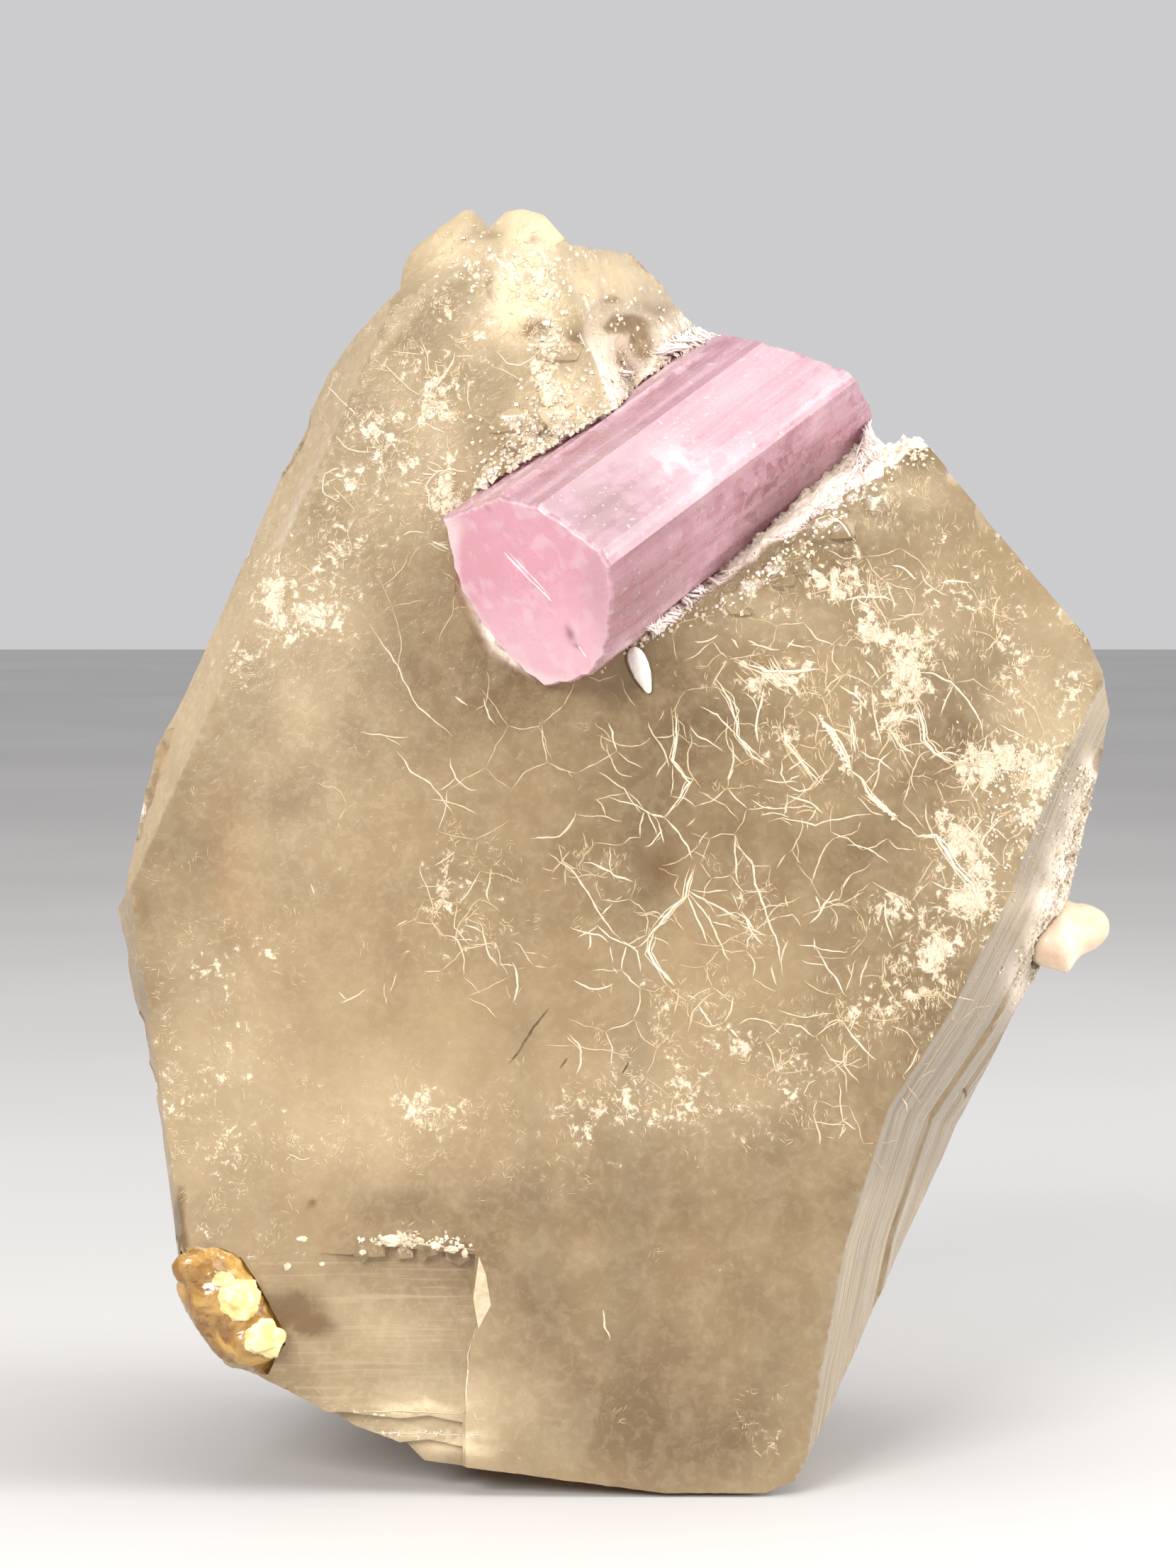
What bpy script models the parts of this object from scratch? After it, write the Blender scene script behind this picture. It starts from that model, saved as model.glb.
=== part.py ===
"""Tourmaline on quartz: a pink tourmaline prism lying in a notch of a thick smoky quartz crystal.

Sizes in the named values below are millimetres, and the model is in metres with +Z up.
X runs to the viewer's right and Y to the back. The origin is on the flat facet that the
quartz stands on.
"""
import math
import random

import bmesh
import bpy
from mathutils import Matrix, Vector, geometry, noise

MM = 0.001

# Quartz: overall sizes
FRONT_Y = -17.0
BACK_Y = 15.0
MIDDLE_Z = 45.0
FRONT_LEAN = math.radians(2.5)
BACK_LEAN = math.radians(4.0)
BACK_TURN = 0.03
TOUCHING_GAP = 0.3
WELD_DISTANCE = 0.003

# Quartz: the outline seen from the front, clockwise from the step at the upper left
CRYSTAL_OUTLINE = [
    (-15.2, 84.1), (-13.3, 86.0), (-10.3, 87.7), (-8.8, 88.6), (-7.6, 89.8), (-6.4, 90.0),
    (-4.9, 89.4), (-3.1, 87.4), (-0.3, 87.4), (1.9, 87.4), (2.6, 86.9), (4.4, 84.1), (7.3, 80.9),
    (9.6, 78.0), (15.2, 75.6), (17.7, 73.7), (19.5, 73.5), (20.3, 74.1), (21.6, 73.8),
    (26.7, 67.4), (33.1, 59.9), (34.1, 57.7), (35.0, 54.6), (34.7, 51.2), (34.0, 46.9),
    (33.4, 44.0), (32.7, 40.6), (32.1, 38.2), (30.5, 35.2), (28.7, 32.1), (24.2, 22.3),
    (19.4, 13.0), (14.2, 3.4), (12.7, 0.9), (10.6, 0.0), (-11.5, 0.0), (-14.6, 3.1),
    (-18.1, 4.4), (-21.3, 6.4), (-25.1, 8.3), (-27.8, 10.4), (-30.5, 13.9), (-30.8, 17.7),
    (-31.7, 25.4), (-33.3, 32.9), (-33.8, 34.2), (-35.0, 40.8), (-34.3, 41.9), (-33.7, 45.9),
    (-33.1, 49.4), (-32.6, 51.9), (-30.8, 54.9), (-28.3, 60.4), (-23.3, 71.9), (-20.3, 78.4),
    (-18.3, 81.0),
]
# The second crystal behind it, whose point shows beside the first one's
TWIN_OUTLINE = [
    (-15.2, 83.0), (-15.1, 84.9), (-14.9, 86.2), (-14.3, 87.3), (-12.3, 88.9), (-10.6, 90.0),
    (-10.0, 90.0), (-8.9, 88.8), (-6.0, 86.0), (-3.0, 74.0), (-12.0, 66.0),
]
TWIN_FRONT_Y = -12.2
TWIN_BACK_Y = 6.0
TWIN_BEVEL = ((-14.4, 84.0), (-10.4, 89.2), 48.0)
TWIN_SIDE = ((-15.2, 84.0), (-10.6, 90.2), -6.0, 24.0)

# Facets: an edge on the front or back face, from and to, and the turn of the facet beyond it.
# Going from the first point to the second, the crystal is on the right, seen from the front.
LEFT_BEVEL = ((-32.1, 45.9), (-15.3, 83.4), 60.0)
LOWER_LEFT_BEVEL = ((-29.6, 14.0), (-33.7, 41.5), 66.0)
TOP_LEFT_BEVEL = ((-15.6, 83.0), (-8.0, 87.4), 52.0)
UNDERSIDE = ((3.6, 0.0), (-13.3, 2.2), 81.0)
FRONT_FACETS = [LEFT_BEVEL, LOWER_LEFT_BEVEL, TOP_LEFT_BEVEL, UNDERSIDE]
# The striated side at the lower right: its edge on the front face, from the top down, its turn
# at both ends, and the ridges that run along it
STRIATED_EDGE = [
    (36.0, 60.4), (33.0, 54.5), (30.7, 49.9), (27.7, 41.9), (23.7, 33.9), (19.2, 26.9), (16.2, 17.4),
    (14.5, 8.4), (13.4, 1.9), (12.6, -4.0),
]
STRIATED_TURNS = (57.0, 66.0)
STRIATED_REACH = 26.0
STRIATED_OVERLAP = 4.0
RIDGED_REACH = 12.0
RIDGE_WIDTH = 0.62
RIDGE_DEPTH = 0.16
BACK_FACETS = [
    ((-26.0, 16.0), (-28.0, 50.0), 52.0), ((-27.5, 50.0), (-14.0, 78.0), 56.0),
    ((-12.0, 80.0), (-2.0, 81.0), 38.0), ((1.0, 79.0), (10.0, 68.0), 62.0),
    ((12.0, 67.0), (29.0, 52.0), 44.0), ((29.5, 52.0), (26.0, 36.0), 58.0),
    ((25.0, 36.0), (11.0, 3.0), 54.0), ((-11.0, 1.0), (-28.0, 14.0), 62.0),
]
# Side facets: an edge on the outline, the depth where the facet starts, and its inward taper
SIDE_FACETS = [
    ((-33.4, 50.4), (-18.5, 81.6), -10.0, 9.0), ((-31.4, 18.0), (-35.2, 40.8), -11.0, 12.0),
    ((-14.0, 2.2), (-30.0, 12.4), -8.0, 6.0), ((21.8, 74.0), (34.6, 58.0), -11.0, 8.0),
    ((35.1, 54.6), (32.4, 38.2), -6.0, 14.0), ((30.9, 36.0), (14.4, 2.6), -6.0, 9.0),
    ((-15.3, 84.6), (-6.2, 90.6), -6.0, 30.0), ((-3.0, 87.6), (2.6, 86.4), -4.0, 28.0),
]

# The notch above and below the tourmaline: a sloping facet and a crumbled wall
NOTCH_FACET = ((-4.6, 88.9), (-0.2, 74.4), 62.0)
WALL_FRONT_START = Vector((1.7, -16.4, 59.6))
WALL_FRONT_END = Vector((20.2, -15.8, 72.1))
WALL_ROOT = Vector((17.6, -4.7, 73.4))
NOTCH_STEP = 1.7
NOTCH_STEPS = 34
NOTCH_LEG_POINTS = 15
WALL_CRUMBLE = 0.75
FACET_CRUMBLE = 0.35
ROOT_CALM = 4
PIT_CENTRE = (1.6, 79.0)
PIT_RADIUS = 1.7
PIT_DEPTH = 1.8

# Tourmaline: the prism's axis runs back, up and to the right from its near end
PRISM_NEAR_END = Vector((-5.7, -21.0, 63.0))
PRISM_AXIS = Vector((0.617, 0.637, 0.462)).normalized()
PRISM_LENGTH = 31.0
PRISM_RADIUS = 7.5
# Its rounded three-sided section, seen along the axis from the near end
PRISM_SECTION = [
    (-8.0, 2.8), (-2.9, 6.9), (0.6, 7.6), (3.2, 7.1), (6.0, 6.3), (6.8, 5.3), (7.0, 2.6),
    (6.7, -1.0), (6.3, -2.7), (5.1, -4.8), (3.2, -6.4), (1.1, -7.7), (-0.6, -7.3), (-3.2, -6.0),
    (-5.1, -4.1), (-6.4, -2.7), (-7.1, -0.9), (-7.6, 1.6),
]
PRISM_RIDGE_WIDTH = 0.8
PRISM_RIDGE_DEPTH = 0.12
NEAR_END_BEVEL = 0.25
SEAT_OVERRUN = 7.0
# Planes that break off the far end: a point on the section, the distance along, the plane's tilt
FAR_BREAKS = [
    ((-0.6, 7.5), 25.6, (-0.2, 0.95)), ((-8.0, 2.8), 24.8, (-0.5, 0.2)), ((3.2, 7.1), 28.4, (0.2, 0.55)),
    ((6.8, 5.3), 30.6, (0.5, 0.25)), ((7.0, -1.0), 30.0, (0.6, -0.3)),
]

# Small pieces
NUB_CENTRE = (33.2, 38.6)
NUB_RADIUS = 1.95
NUB_LENGTH = 4.4
NUB_RISE = math.radians(10)
NUB_FOOT = (31.9, 37.6)
NUB_FOOT_RADIUS = 1.9
DROP_TOP = (1.3, 59.2)
DROP_TIP = (2.5, 56.0)
DROP_RADIUS = 0.62
# The crust is one long lump down the edge with smaller ones on it: x, z, radius, stretch
CRUST_MIDDLE = (-27.0, 12.9)
CRUST_RADII = (2.5, 2.7, 5.2)
CRUST_SLANT = math.radians(-33)
CRUST_LUMPS = [(-27.9, 13.4, 1.5), (-25.4, 10.6, 1.6), (-29.4, 15.9, 1.2)]

# The ledge at the lower left: layers that the front face steps down by
LEDGE_OUTLINE = [
    (-9.7, 16.7), (-9.9, 13.7), (-9.0, 12.7), (-9.8, 11.4), (-10.4, 7.4), (-10.3, -3.0),
    (-38.0, -3.0), (-38.0, 15.2), (-22.5, 16.9), (-18.3, 16.7), (-15.6, 17.3), (-12.5, 16.9),
]
LOWER_LEDGE_TOPS = [5.1, 3.3]
LOWER_LEDGE_OUTLINE = [
    (-10.6, -0.3), (-10.6, -8.0), (-38.0, -8.0), (-38.0, 1.2), (-19.0, 0.5), (-15.0, 0.0), (-13.0, 0.2),
]
LEDGE_DEPTH = 0.8
LOWER_LEDGE_DEPTH = 0.7
# How far a cutter runs out beyond the surface that it cuts
CUTTER_REACH = 12.0

# Smaller crystals grown along the back: the foot's x, y and z, radius, length, cap, lean and spin
BACK_CRYSTALS = [
    (5.0, 13.0, 1.2, 9.0, 60.0, 8.0, 2.0, 18.0), (-8.5, 12.5, 5.0, 8.2, 45.0, 7.0, -5.0, 40.0),
    (15.0, 11.5, 19.0, 6.6, 36.0, 5.0, 10.0, 8.0),
]
CAP_SLOPE = math.radians(51.8)
RIDGE_SEED = 4
CHIP_SEED = 22
LUMP_SEED = 2
# Worn stretches of the edges: from and to, the number of chips and their size
CHIP_RUNS = [
    ((-34.2, 43.0), (-32.2, 53.2), 3, 1.6), ((-28.2, 62.0), (-20.2, 79.2), 3, 1.2),
    ((-32.6, 28.0), (-34.8, 38.0), 3, 1.5), ((22.2, 73.2), (33.4, 59.8), 4, 1.4),
    ((34.9, 52.0), (33.2, 42.6), 4, 1.8), ((30.2, 34.8), (16.6, 7.6), 3, 1.4),
    ((-23.6, 7.4), (-15.2, 3.4), 3, 1.4),
]
# How far a chip's ball stands outside the edge, as a share of its radius
CHIP_STAND_OFF = 0.55
# Crumbly growths on the notch's rims and the ledge: from and to, number, size and spread
LUMP_RUNS = [
    ((-9.6, 70.4), (-2.2, 74.6), 10, 1.5, 0.9), ((-6.0, 73.6), (-4.4, 79.0), 7, 1.6, 1.2),
    ((8.4, 61.6), (20.4, 71.6), 12, 1.4, 0.5), ((-18.6, 17.0), (-10.4, 16.8), 6, 0.8, 0.2),
]

COLOURS = {
    "smoky_quartz": ((196, 168, 130), 0.12, 0.6),
    "pink_tourmaline": ((236, 170, 186), 0.08, 0.6),
    "cream_feldspar": ((250, 228, 205), 0.45, 0.0),
    "honey_crust": ((186, 142, 62), 0.3, 0.2),
    "white_crystal": ((248, 240, 226), 0.4, 0.0),
}


def linear(value):
    """An sRGB channel from 0 to 255 as linear light."""
    value = value / 255
    return value / 12.92 if value <= 0.04045 else ((value + 0.055) / 1.055) ** 2.4


def mineral(name):
    """The Principled material of one mineral."""
    colour, roughness, transmission = COLOURS[name]
    material = bpy.data.materials.new(name)
    material.use_nodes = True
    shader = material.node_tree.nodes["Principled BSDF"]
    shader.inputs["Base Color"].default_value = (*[linear(channel) for channel in colour], 1)
    shader.inputs["Roughness"].default_value = roughness
    shader.inputs["Metallic"].default_value = 0
    shader.inputs["Transmission Weight"].default_value = transmission
    shader.inputs["IOR"].default_value = 1.55
    material.diffuse_color = shader.inputs["Base Color"].default_value
    return material


def collection(name):
    made = bpy.data.collections.new(name)
    bpy.context.scene.collection.children.link(made)
    return made


def add_object(name, bm, target):
    """Makes a mesh object of a bmesh that holds metres."""
    bm.normal_update()
    mesh = bpy.data.meshes.new(name)
    bm.to_mesh(mesh)
    bm.free()
    made = bpy.data.objects.new(name, mesh)
    target.objects.link(made)
    return made


def as_cutter(item):
    item.hide_render = True
    item.display_type = "WIRE"
    return item


def combine(item, other, operation, overlapping=False):
    """Adds an exact Boolean of another object, whose own pieces may overlap, to the item."""
    modifier = item.modifiers.new(other.name, "BOOLEAN")
    modifier.operation = operation
    modifier.solver = "EXACT"
    modifier.use_self = overlapping
    modifier.object = as_cutter(other)


# Planes are pairs of a point and a normal that points out of the crystal, in millimetres
def front_plane():
    return Vector((0, FRONT_Y, MIDDLE_Z)), Vector((0, -math.cos(FRONT_LEAN), math.sin(FRONT_LEAN)))


def back_plane():
    normal = Vector((BACK_TURN, math.cos(BACK_LEAN), math.sin(BACK_LEAN))).normalized()
    return Vector((0, BACK_Y, MIDDLE_Z)), normal


def on_plane(plane, x, z):
    """The point of a plane at the given x and z."""
    point, normal = plane
    y = point.y - ((x - point.x) * normal.x + (z - point.z) * normal.z) / normal.y
    return Vector((x, y, z))


def turned_facet(face, edge):
    """The plane through an edge on a face, turned away from that face."""
    start, end, turn = edge
    along = Vector((end[0] - start[0], 0, end[1] - start[1])).normalized()
    outward = Vector((-along.z, 0, along.x))
    turn = math.radians(turn)
    return on_plane(face, *start), (face[1] * math.cos(turn) + outward * math.sin(turn)).normalized()


def side_facet(start, end, depth, taper):
    """The plane through an outline edge at a depth, leaning inward to the back."""
    along = Vector((end[0] - start[0], 0, end[1] - start[1])).normalized()
    outward = Vector((-along.z, 0, along.x))
    taper = math.radians(taper)
    return Vector((start[0], depth, start[1])), outward * math.cos(taper) + Vector((0, math.sin(taper), 0))


def front_surface(x, z):
    """The point of the crystal's faceted front at the given x and z."""
    planes = [front_plane()] + [turned_facet(front_plane(), edge) for edge in FRONT_FACETS]
    points = [on_plane(plane, x, z) for plane in planes]
    for (x1, z1), (x2, z2) in zip(STRIATED_EDGE, STRIATED_EDGE[1:]):
        if z2 <= z < z1:
            slope = math.atan2(x1 - x2, z1 - z2)
            beyond = (x - x2) * math.cos(slope) - (z - z2) * math.sin(slope)
            back = max(0.0, beyond) * math.tan(math.radians(STRIATED_TURNS[0]))
            points.append(on_plane(front_plane(), x, z) + Vector((0, back, 0)))
    return max(points, key=lambda point: point.y)


def notch_planes():
    """The sloping facet above the tourmaline and the wall below it."""
    wall_normal = (WALL_FRONT_END - WALL_FRONT_START).cross(WALL_ROOT - WALL_FRONT_START).normalized()
    return turned_facet(front_plane(), NOTCH_FACET), (WALL_FRONT_START, wall_normal)


def crystal_surface(x, z):
    """The point of the crystal's front at the given x and z, with the notch."""
    notch = min((on_plane(plane, x, z) for plane in notch_planes()), key=lambda point: point.y)
    return max(front_surface(x, z), notch, key=lambda point: point.y)


def slice_off(bm, plane):
    """Cuts away what lies beyond a plane, and closes the cut."""
    everything = bm.verts[:] + bm.edges[:] + bm.faces[:]
    point, normal = plane
    cut = bmesh.ops.bisect_plane(bm, geom=everything, dist=1e-7, plane_co=point * MM, plane_no=normal,
                                 clear_outer=True)
    rim = [item for item in cut["geom_cut"] if isinstance(item, bmesh.types.BMEdge)]
    bmesh.ops.holes_fill(bm, edges=rim, sides=0)


def outline_slab(outline, front, back):
    """A bmesh of an outline in x and z, extruded from one depth to another."""
    curve = bpy.data.curves.new("outline", "CURVE")
    curve.dimensions = "2D"
    curve.fill_mode = "BOTH"
    curve.extrude = (back - front) / 2 * MM
    spline = curve.splines.new("POLY")
    spline.points.add(len(outline) - 1)
    for point, (x, z) in zip(spline.points, outline):
        point.co = (x * MM, z * MM, 0, 1)
    spline.use_cyclic_u = True
    holder = bpy.data.objects.new("outline", curve)
    bpy.context.scene.collection.objects.link(holder)
    evaluated = holder.evaluated_get(bpy.context.evaluated_depsgraph_get())
    mesh = bpy.data.meshes.new_from_object(evaluated)
    stand_up = Matrix.Translation((0, (front + back) / 2 * MM, 0)) @ Matrix.Rotation(math.pi / 2, 4, "X")
    bm = bmesh.new()
    bm.from_mesh(mesh)
    bm.transform(stand_up)
    bpy.data.objects.remove(holder)
    bpy.data.curves.remove(curve)
    bpy.data.meshes.remove(mesh)
    bmesh.ops.remove_doubles(bm, verts=bm.verts, dist=1e-6)
    bmesh.ops.dissolve_limit(bm, angle_limit=0.001, verts=bm.verts, edges=bm.edges)
    bmesh.ops.recalc_face_normals(bm, faces=bm.faces)
    for face in bm.faces:
        face.smooth = False
    return bm


def crystal_body():
    """The main quartz crystal: its outline as a slab, cut by all its facets."""
    bm = outline_slab(CRYSTAL_OUTLINE, FRONT_Y - CUTTER_REACH, BACK_Y + CUTTER_REACH)
    slice_off(bm, front_plane())
    slice_off(bm, back_plane())
    for edge in FRONT_FACETS:
        slice_off(bm, turned_facet(front_plane(), edge))
    for start, end, turn in BACK_FACETS:
        slice_off(bm, turned_facet(back_plane(), (start, end, turn)))
    for facet in SIDE_FACETS:
        slice_off(bm, side_facet(*facet))
    bmesh.ops.dissolve_limit(bm, angle_limit=0.001, verts=bm.verts, edges=bm.edges)
    return bm


def loft(rings):
    """Joins rings of as many points each, in millimetres, to a closed body."""
    bm = bmesh.new()
    rings = [[bm.verts.new(point * MM) for point in ring] for ring in rings]
    for first, second in zip(rings, rings[1:]):
        for index in range(len(first)):
            after = (index + 1) % len(first)
            bm.faces.new((first[index], first[after], second[after], second[index]))
    bm.faces.new(rings[0])
    bm.faces.new(reversed(rings[-1]))
    bmesh.ops.recalc_face_normals(bm, faces=bm.faces)
    bmesh.ops.triangulate(bm, faces=bm.faces)
    return bm


def striated_side_body():
    """What the striated side takes off: a loft down its edge, with a ridged face."""
    draw = random.Random(RIDGE_SEED)
    offsets = [-STRIATED_OVERLAP, RIDGE_WIDTH]
    while offsets[-1] < RIDGED_REACH:
        offsets.append(offsets[-1] + RIDGE_WIDTH * draw.uniform(0.5, 1.6))
    heights = [0.0, 0.0] + [RIDGE_DEPTH * draw.uniform(-1, 1) for offset in offsets[2:]]
    offsets.append(STRIATED_REACH)
    heights.append(0.0)
    last = len(STRIATED_EDGE) - 1
    rings = []
    for number, (x, z) in enumerate(STRIATED_EDGE):
        before = STRIATED_EDGE[max(number - 1, 0)]
        after = STRIATED_EDGE[min(number + 1, last)]
        run = Vector((after[0] - before[0], 0, after[1] - before[1])).normalized()
        outward = Vector((-run.z, 0, run.x))
        turn = math.radians(STRIATED_TURNS[0] + (STRIATED_TURNS[1] - STRIATED_TURNS[0]) * number / last)
        down_face = outward * math.cos(turn) + Vector((0, math.sin(turn), 0))
        normal = outward * math.sin(turn) - Vector((0, math.cos(turn), 0))
        corner = on_plane(front_plane(), x, z)
        ring = [corner + down_face * offset + normal * height for offset, height in zip(offsets, heights)]
        ring.append(corner + outward * STRIATED_REACH - Vector((0, CUTTER_REACH, 0)))
        rings.append(ring)
    return loft(rings)


def twin_body():
    """The second crystal, whose own bevel catches the light beside the first one's."""
    bm = outline_slab(TWIN_OUTLINE, TWIN_FRONT_Y, TWIN_BACK_Y)
    face = (Vector((0, TWIN_FRONT_Y, 0)), Vector((0, -1, 0)))
    slice_off(bm, turned_facet(face, TWIN_BEVEL))
    slice_off(bm, side_facet(*TWIN_SIDE))
    return bm


def back_crystal(x, y, z, radius, length, cap, lean, spin):
    """A six-sided quartz crystal: a prism that ends in six sloping faces."""
    bm = bmesh.new()
    bmesh.ops.create_cone(bm, cap_ends=True, segments=6, radius1=radius * MM, radius2=radius * MM,
                          depth=length * MM)
    bmesh.ops.translate(bm, verts=bm.verts, vec=(0, 0, length / 2 * MM))
    for side in range(6):
        angle = math.radians(60 * side + 30)
        out = Vector((math.cos(angle), math.sin(angle), 0))
        shoulder = length - cap * (1.4 if side % 2 else 1.0)
        corner = out * radius * math.cos(math.radians(30)) + Vector((0, 0, shoulder))
        slope = out * math.sin(CAP_SLOPE) + Vector((0, 0, math.cos(CAP_SLOPE)))
        slice_off(bm, (corner, slope))
    upright = Matrix.Rotation(math.radians(lean), 4, "Y") @ Matrix.Rotation(BACK_LEAN, 4, "X")
    bm.transform(Matrix.Translation(Vector((x, y, z)) * MM) @ upright @ Matrix.Rotation(math.radians(spin), 4, "Z"))
    return bm


def notch_body():
    """The cutter of the notch: two rough planes that meet in a root line."""
    facet, wall = notch_planes()
    wall_normal = wall[1]
    root, along = geometry.intersect_plane_plane(*facet, *wall)
    if along.y < 0:
        along = -along
    root = root + along * ((FRONT_Y - 2 - root.y) / along.y)
    up_facet = facet[1].cross(along).normalized()
    if up_facet.y > 0:
        up_facet = -up_facet
    up_wall = wall_normal.cross(along).normalized()
    if up_wall.y > 0:
        up_wall = -up_wall
    pit = on_plane(facet, *PIT_CENTRE)
    rings = []
    for step in range(NOTCH_STEPS):
        centre = root + along * (step * NOTCH_STEP)
        ring = []
        for index in range(NOTCH_LEG_POINTS, 0, -1):
            point = centre + up_facet * (index * NOTCH_STEP)
            rough = FACET_CRUMBLE * noise.noise(point * 0.55) * min(1.0, index / ROOT_CALM)
            dent = PIT_DEPTH * math.exp(-((point - pit).length / PIT_RADIUS) ** 2)
            ring.append(point - facet[1] * (rough + dent))
        ring.append(centre)
        for index in range(1, NOTCH_LEG_POINTS + 1):
            point = centre + up_wall * (index * NOTCH_STEP)
            rough = (noise.noise(point * 0.5) + 0.5 * noise.noise(point * 1.3)) * min(1.0, index / ROOT_CALM)
            ring.append(point - wall_normal * WALL_CRUMBLE * rough)
        reach = NOTCH_LEG_POINTS * NOTCH_STEP
        ring.append(centre + (up_facet + up_wall) * reach)
        rings.append(ring)
    return loft(rings)


def prism_frame():
    """The section's right and up directions, which with the axis make the prism's own frame."""
    right = (Vector((1, 0, 0)) - PRISM_AXIS * PRISM_AXIS.x).normalized()
    up = right.cross(PRISM_AXIS).normalized()
    if up.z < 0:
        up = -up
    return right, up


def ridged_section(grow):
    """The prism's section, grown outward, with low ridges along its sides."""
    points = []
    count = len(PRISM_SECTION)
    for index in range(count):
        start = Vector(PRISM_SECTION[index])
        end = Vector(PRISM_SECTION[(index + 1) % count])
        side = end - start
        outward = Vector((-side.y, side.x)).normalized()
        pieces = 1 if grow else max(1, round(side.length / PRISM_RIDGE_WIDTH))
        for piece in range(pieces):
            inset = PRISM_RIDGE_DEPTH if piece % 2 else 0.0
            point = start.lerp(end, piece / pieces) - outward * inset
            points.append(point + point.normalized() * grow)
    return points


def prism_body(grow=0.0, start=0.0, end=PRISM_LENGTH):
    """The tourmaline as a loft along its axis, or its plain grown copy that cuts its seat."""
    right, up = prism_frame()
    section = ridged_section(grow)
    stations = [(start, 1.0), (end, 1.0)]
    if not grow:
        stations[:1] = [(start, 1 - NEAR_END_BEVEL / PRISM_RADIUS), (start + NEAR_END_BEVEL, 1.0)]
    rings = []
    for distance, scale in stations:
        centre = PRISM_NEAR_END + PRISM_AXIS * distance
        rings.append([centre + (right * point.x + up * point.y) * scale for point in section])
    return loft(rings)


def tourmaline_body():
    """The prism with its far end broken off unevenly."""
    bm = prism_body()
    right, up = prism_frame()
    for (across, above), distance, (tilt_right, tilt_up) in FAR_BREAKS:
        point = PRISM_NEAR_END + PRISM_AXIS * distance + right * across + up * above
        normal = (PRISM_AXIS + right * tilt_right + up * tilt_up).normalized()
        slice_off(bm, (point, normal))
    return bm


def rough_ball(bm, centre, radius, stretch=(1, 1, 1), roughness=0.15, detail=1, seed=0.0):
    """Adds one irregular closed lump, in millimetres, to a bmesh."""
    made = bmesh.ops.create_icosphere(bm, subdivisions=detail, radius=1.0)
    for vertex in made["verts"]:
        direction = vertex.co.normalized()
        swell = 1 + roughness * noise.noise(direction * 1.7 + Vector((seed, seed, seed)))
        place = Vector([direction[axis] * stretch[axis] * radius * swell for axis in range(3)])
        vertex.co = (Vector(centre) + place) * MM
    return made["verts"]


def edge_chips():
    """Shell-shaped chips along the crystal's worn edges, as one cutter."""
    draw = random.Random(CHIP_SEED)
    bm = bmesh.new()
    for start, end, count, size in CHIP_RUNS:
        for index in range(count):
            part = (index + draw.uniform(0.0, 1.0)) / count
            x = start[0] + (end[0] - start[0]) * part
            z = start[1] + (end[1] - start[1]) * part
            radius = size * draw.uniform(0.5, 1.2)
            stand_off = Vector((math.copysign(0.6, x), -0.8, 0)) * radius * CHIP_STAND_OFF
            stretch = (draw.uniform(0.8, 1.2), draw.uniform(0.8, 1.3), draw.uniform(0.9, 1.9))
            rough_ball(bm, front_surface(x, z) + stand_off, radius, stretch, 0.4, 2, draw.uniform(0, 99))
    return bm


def rim_lumps():
    """Crumbly white growths above the tourmaline, on the wall's lip and on the ledge, as one solid."""
    draw = random.Random(LUMP_SEED)
    bm = bmesh.new()
    for start, end, count, size, spread in LUMP_RUNS:
        for index in range(count):
            part = (index + draw.uniform(0.1, 0.9)) / count
            x = start[0] + (end[0] - start[0]) * part + draw.uniform(-spread, spread)
            z = start[1] + (end[1] - start[1]) * part + draw.uniform(-spread, spread)
            stretch = (draw.uniform(0.8, 1.4), draw.uniform(0.3, 0.6), draw.uniform(0.7, 1.2))
            seat = crystal_surface(x, z) + Vector((0, 0.1, 0))
            rough_ball(bm, seat, size * draw.uniform(0.7, 1.2), stretch, 0.6, 1, draw.uniform(0, 99))
    return bm


def ledge_steps():
    """Three thin layers taken off the lower left of the front, each cut deeper than the last."""
    layers = [(LEDGE_OUTLINE, LEDGE_DEPTH)]
    depth = LEDGE_DEPTH
    for top in LOWER_LEDGE_TOPS:
        depth += LOWER_LEDGE_DEPTH
        layers.append(([(x, z + top) for x, z in LOWER_LEDGE_OUTLINE], depth))
    for number, (outline, below) in enumerate(layers):
        bm = outline_slab(outline, -CUTTER_REACH, below)
        lean = Matrix.Rotation(-FRONT_LEAN, 4, "X")
        bm.transform(Matrix.Translation(front_plane()[0] * MM) @ lean @ Matrix.Translation((0, 0, -MIDDLE_Z * MM)))
        yield "ledge_layer_%d" % (number + 1), bm


def nub_body(grow=0.0):
    """The thumb-shaped crystal on the right edge."""
    base = front_surface(*NUB_CENTRE)
    bm = bmesh.new()
    bmesh.ops.create_uvsphere(bm, u_segments=20, v_segments=14, radius=1.0)
    tilt = Matrix.Rotation(-NUB_RISE, 3, "Y")
    for vertex in bm.verts:
        out = vertex.co.x
        flare = 1 + 0.22 * max(0.0, -out) ** 2
        swell = 1 + 0.07 * noise.noise(vertex.co * 1.6)
        size = (NUB_RADIUS * swell + grow)
        place = Vector((out * (NUB_LENGTH * 0.5 + NUB_RADIUS * 0.35 + grow), vertex.co.y * size * flare,
                        vertex.co.z * size * flare))
        vertex.co = (base + Vector((0.2, 0.4, 0)) + tilt @ place) * MM
    return bm


def nub_foot(grow=0.0):
    """The nub's flared foot on the quartz."""
    bm = bmesh.new()
    centre = front_surface(*NUB_FOOT) + Vector((0, 0.3, 0))
    rough_ball(bm, centre, NUB_FOOT_RADIUS + grow, (1.15, 1.1, 1.0), 0.15, 3, 7.7)
    return bm


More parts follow.
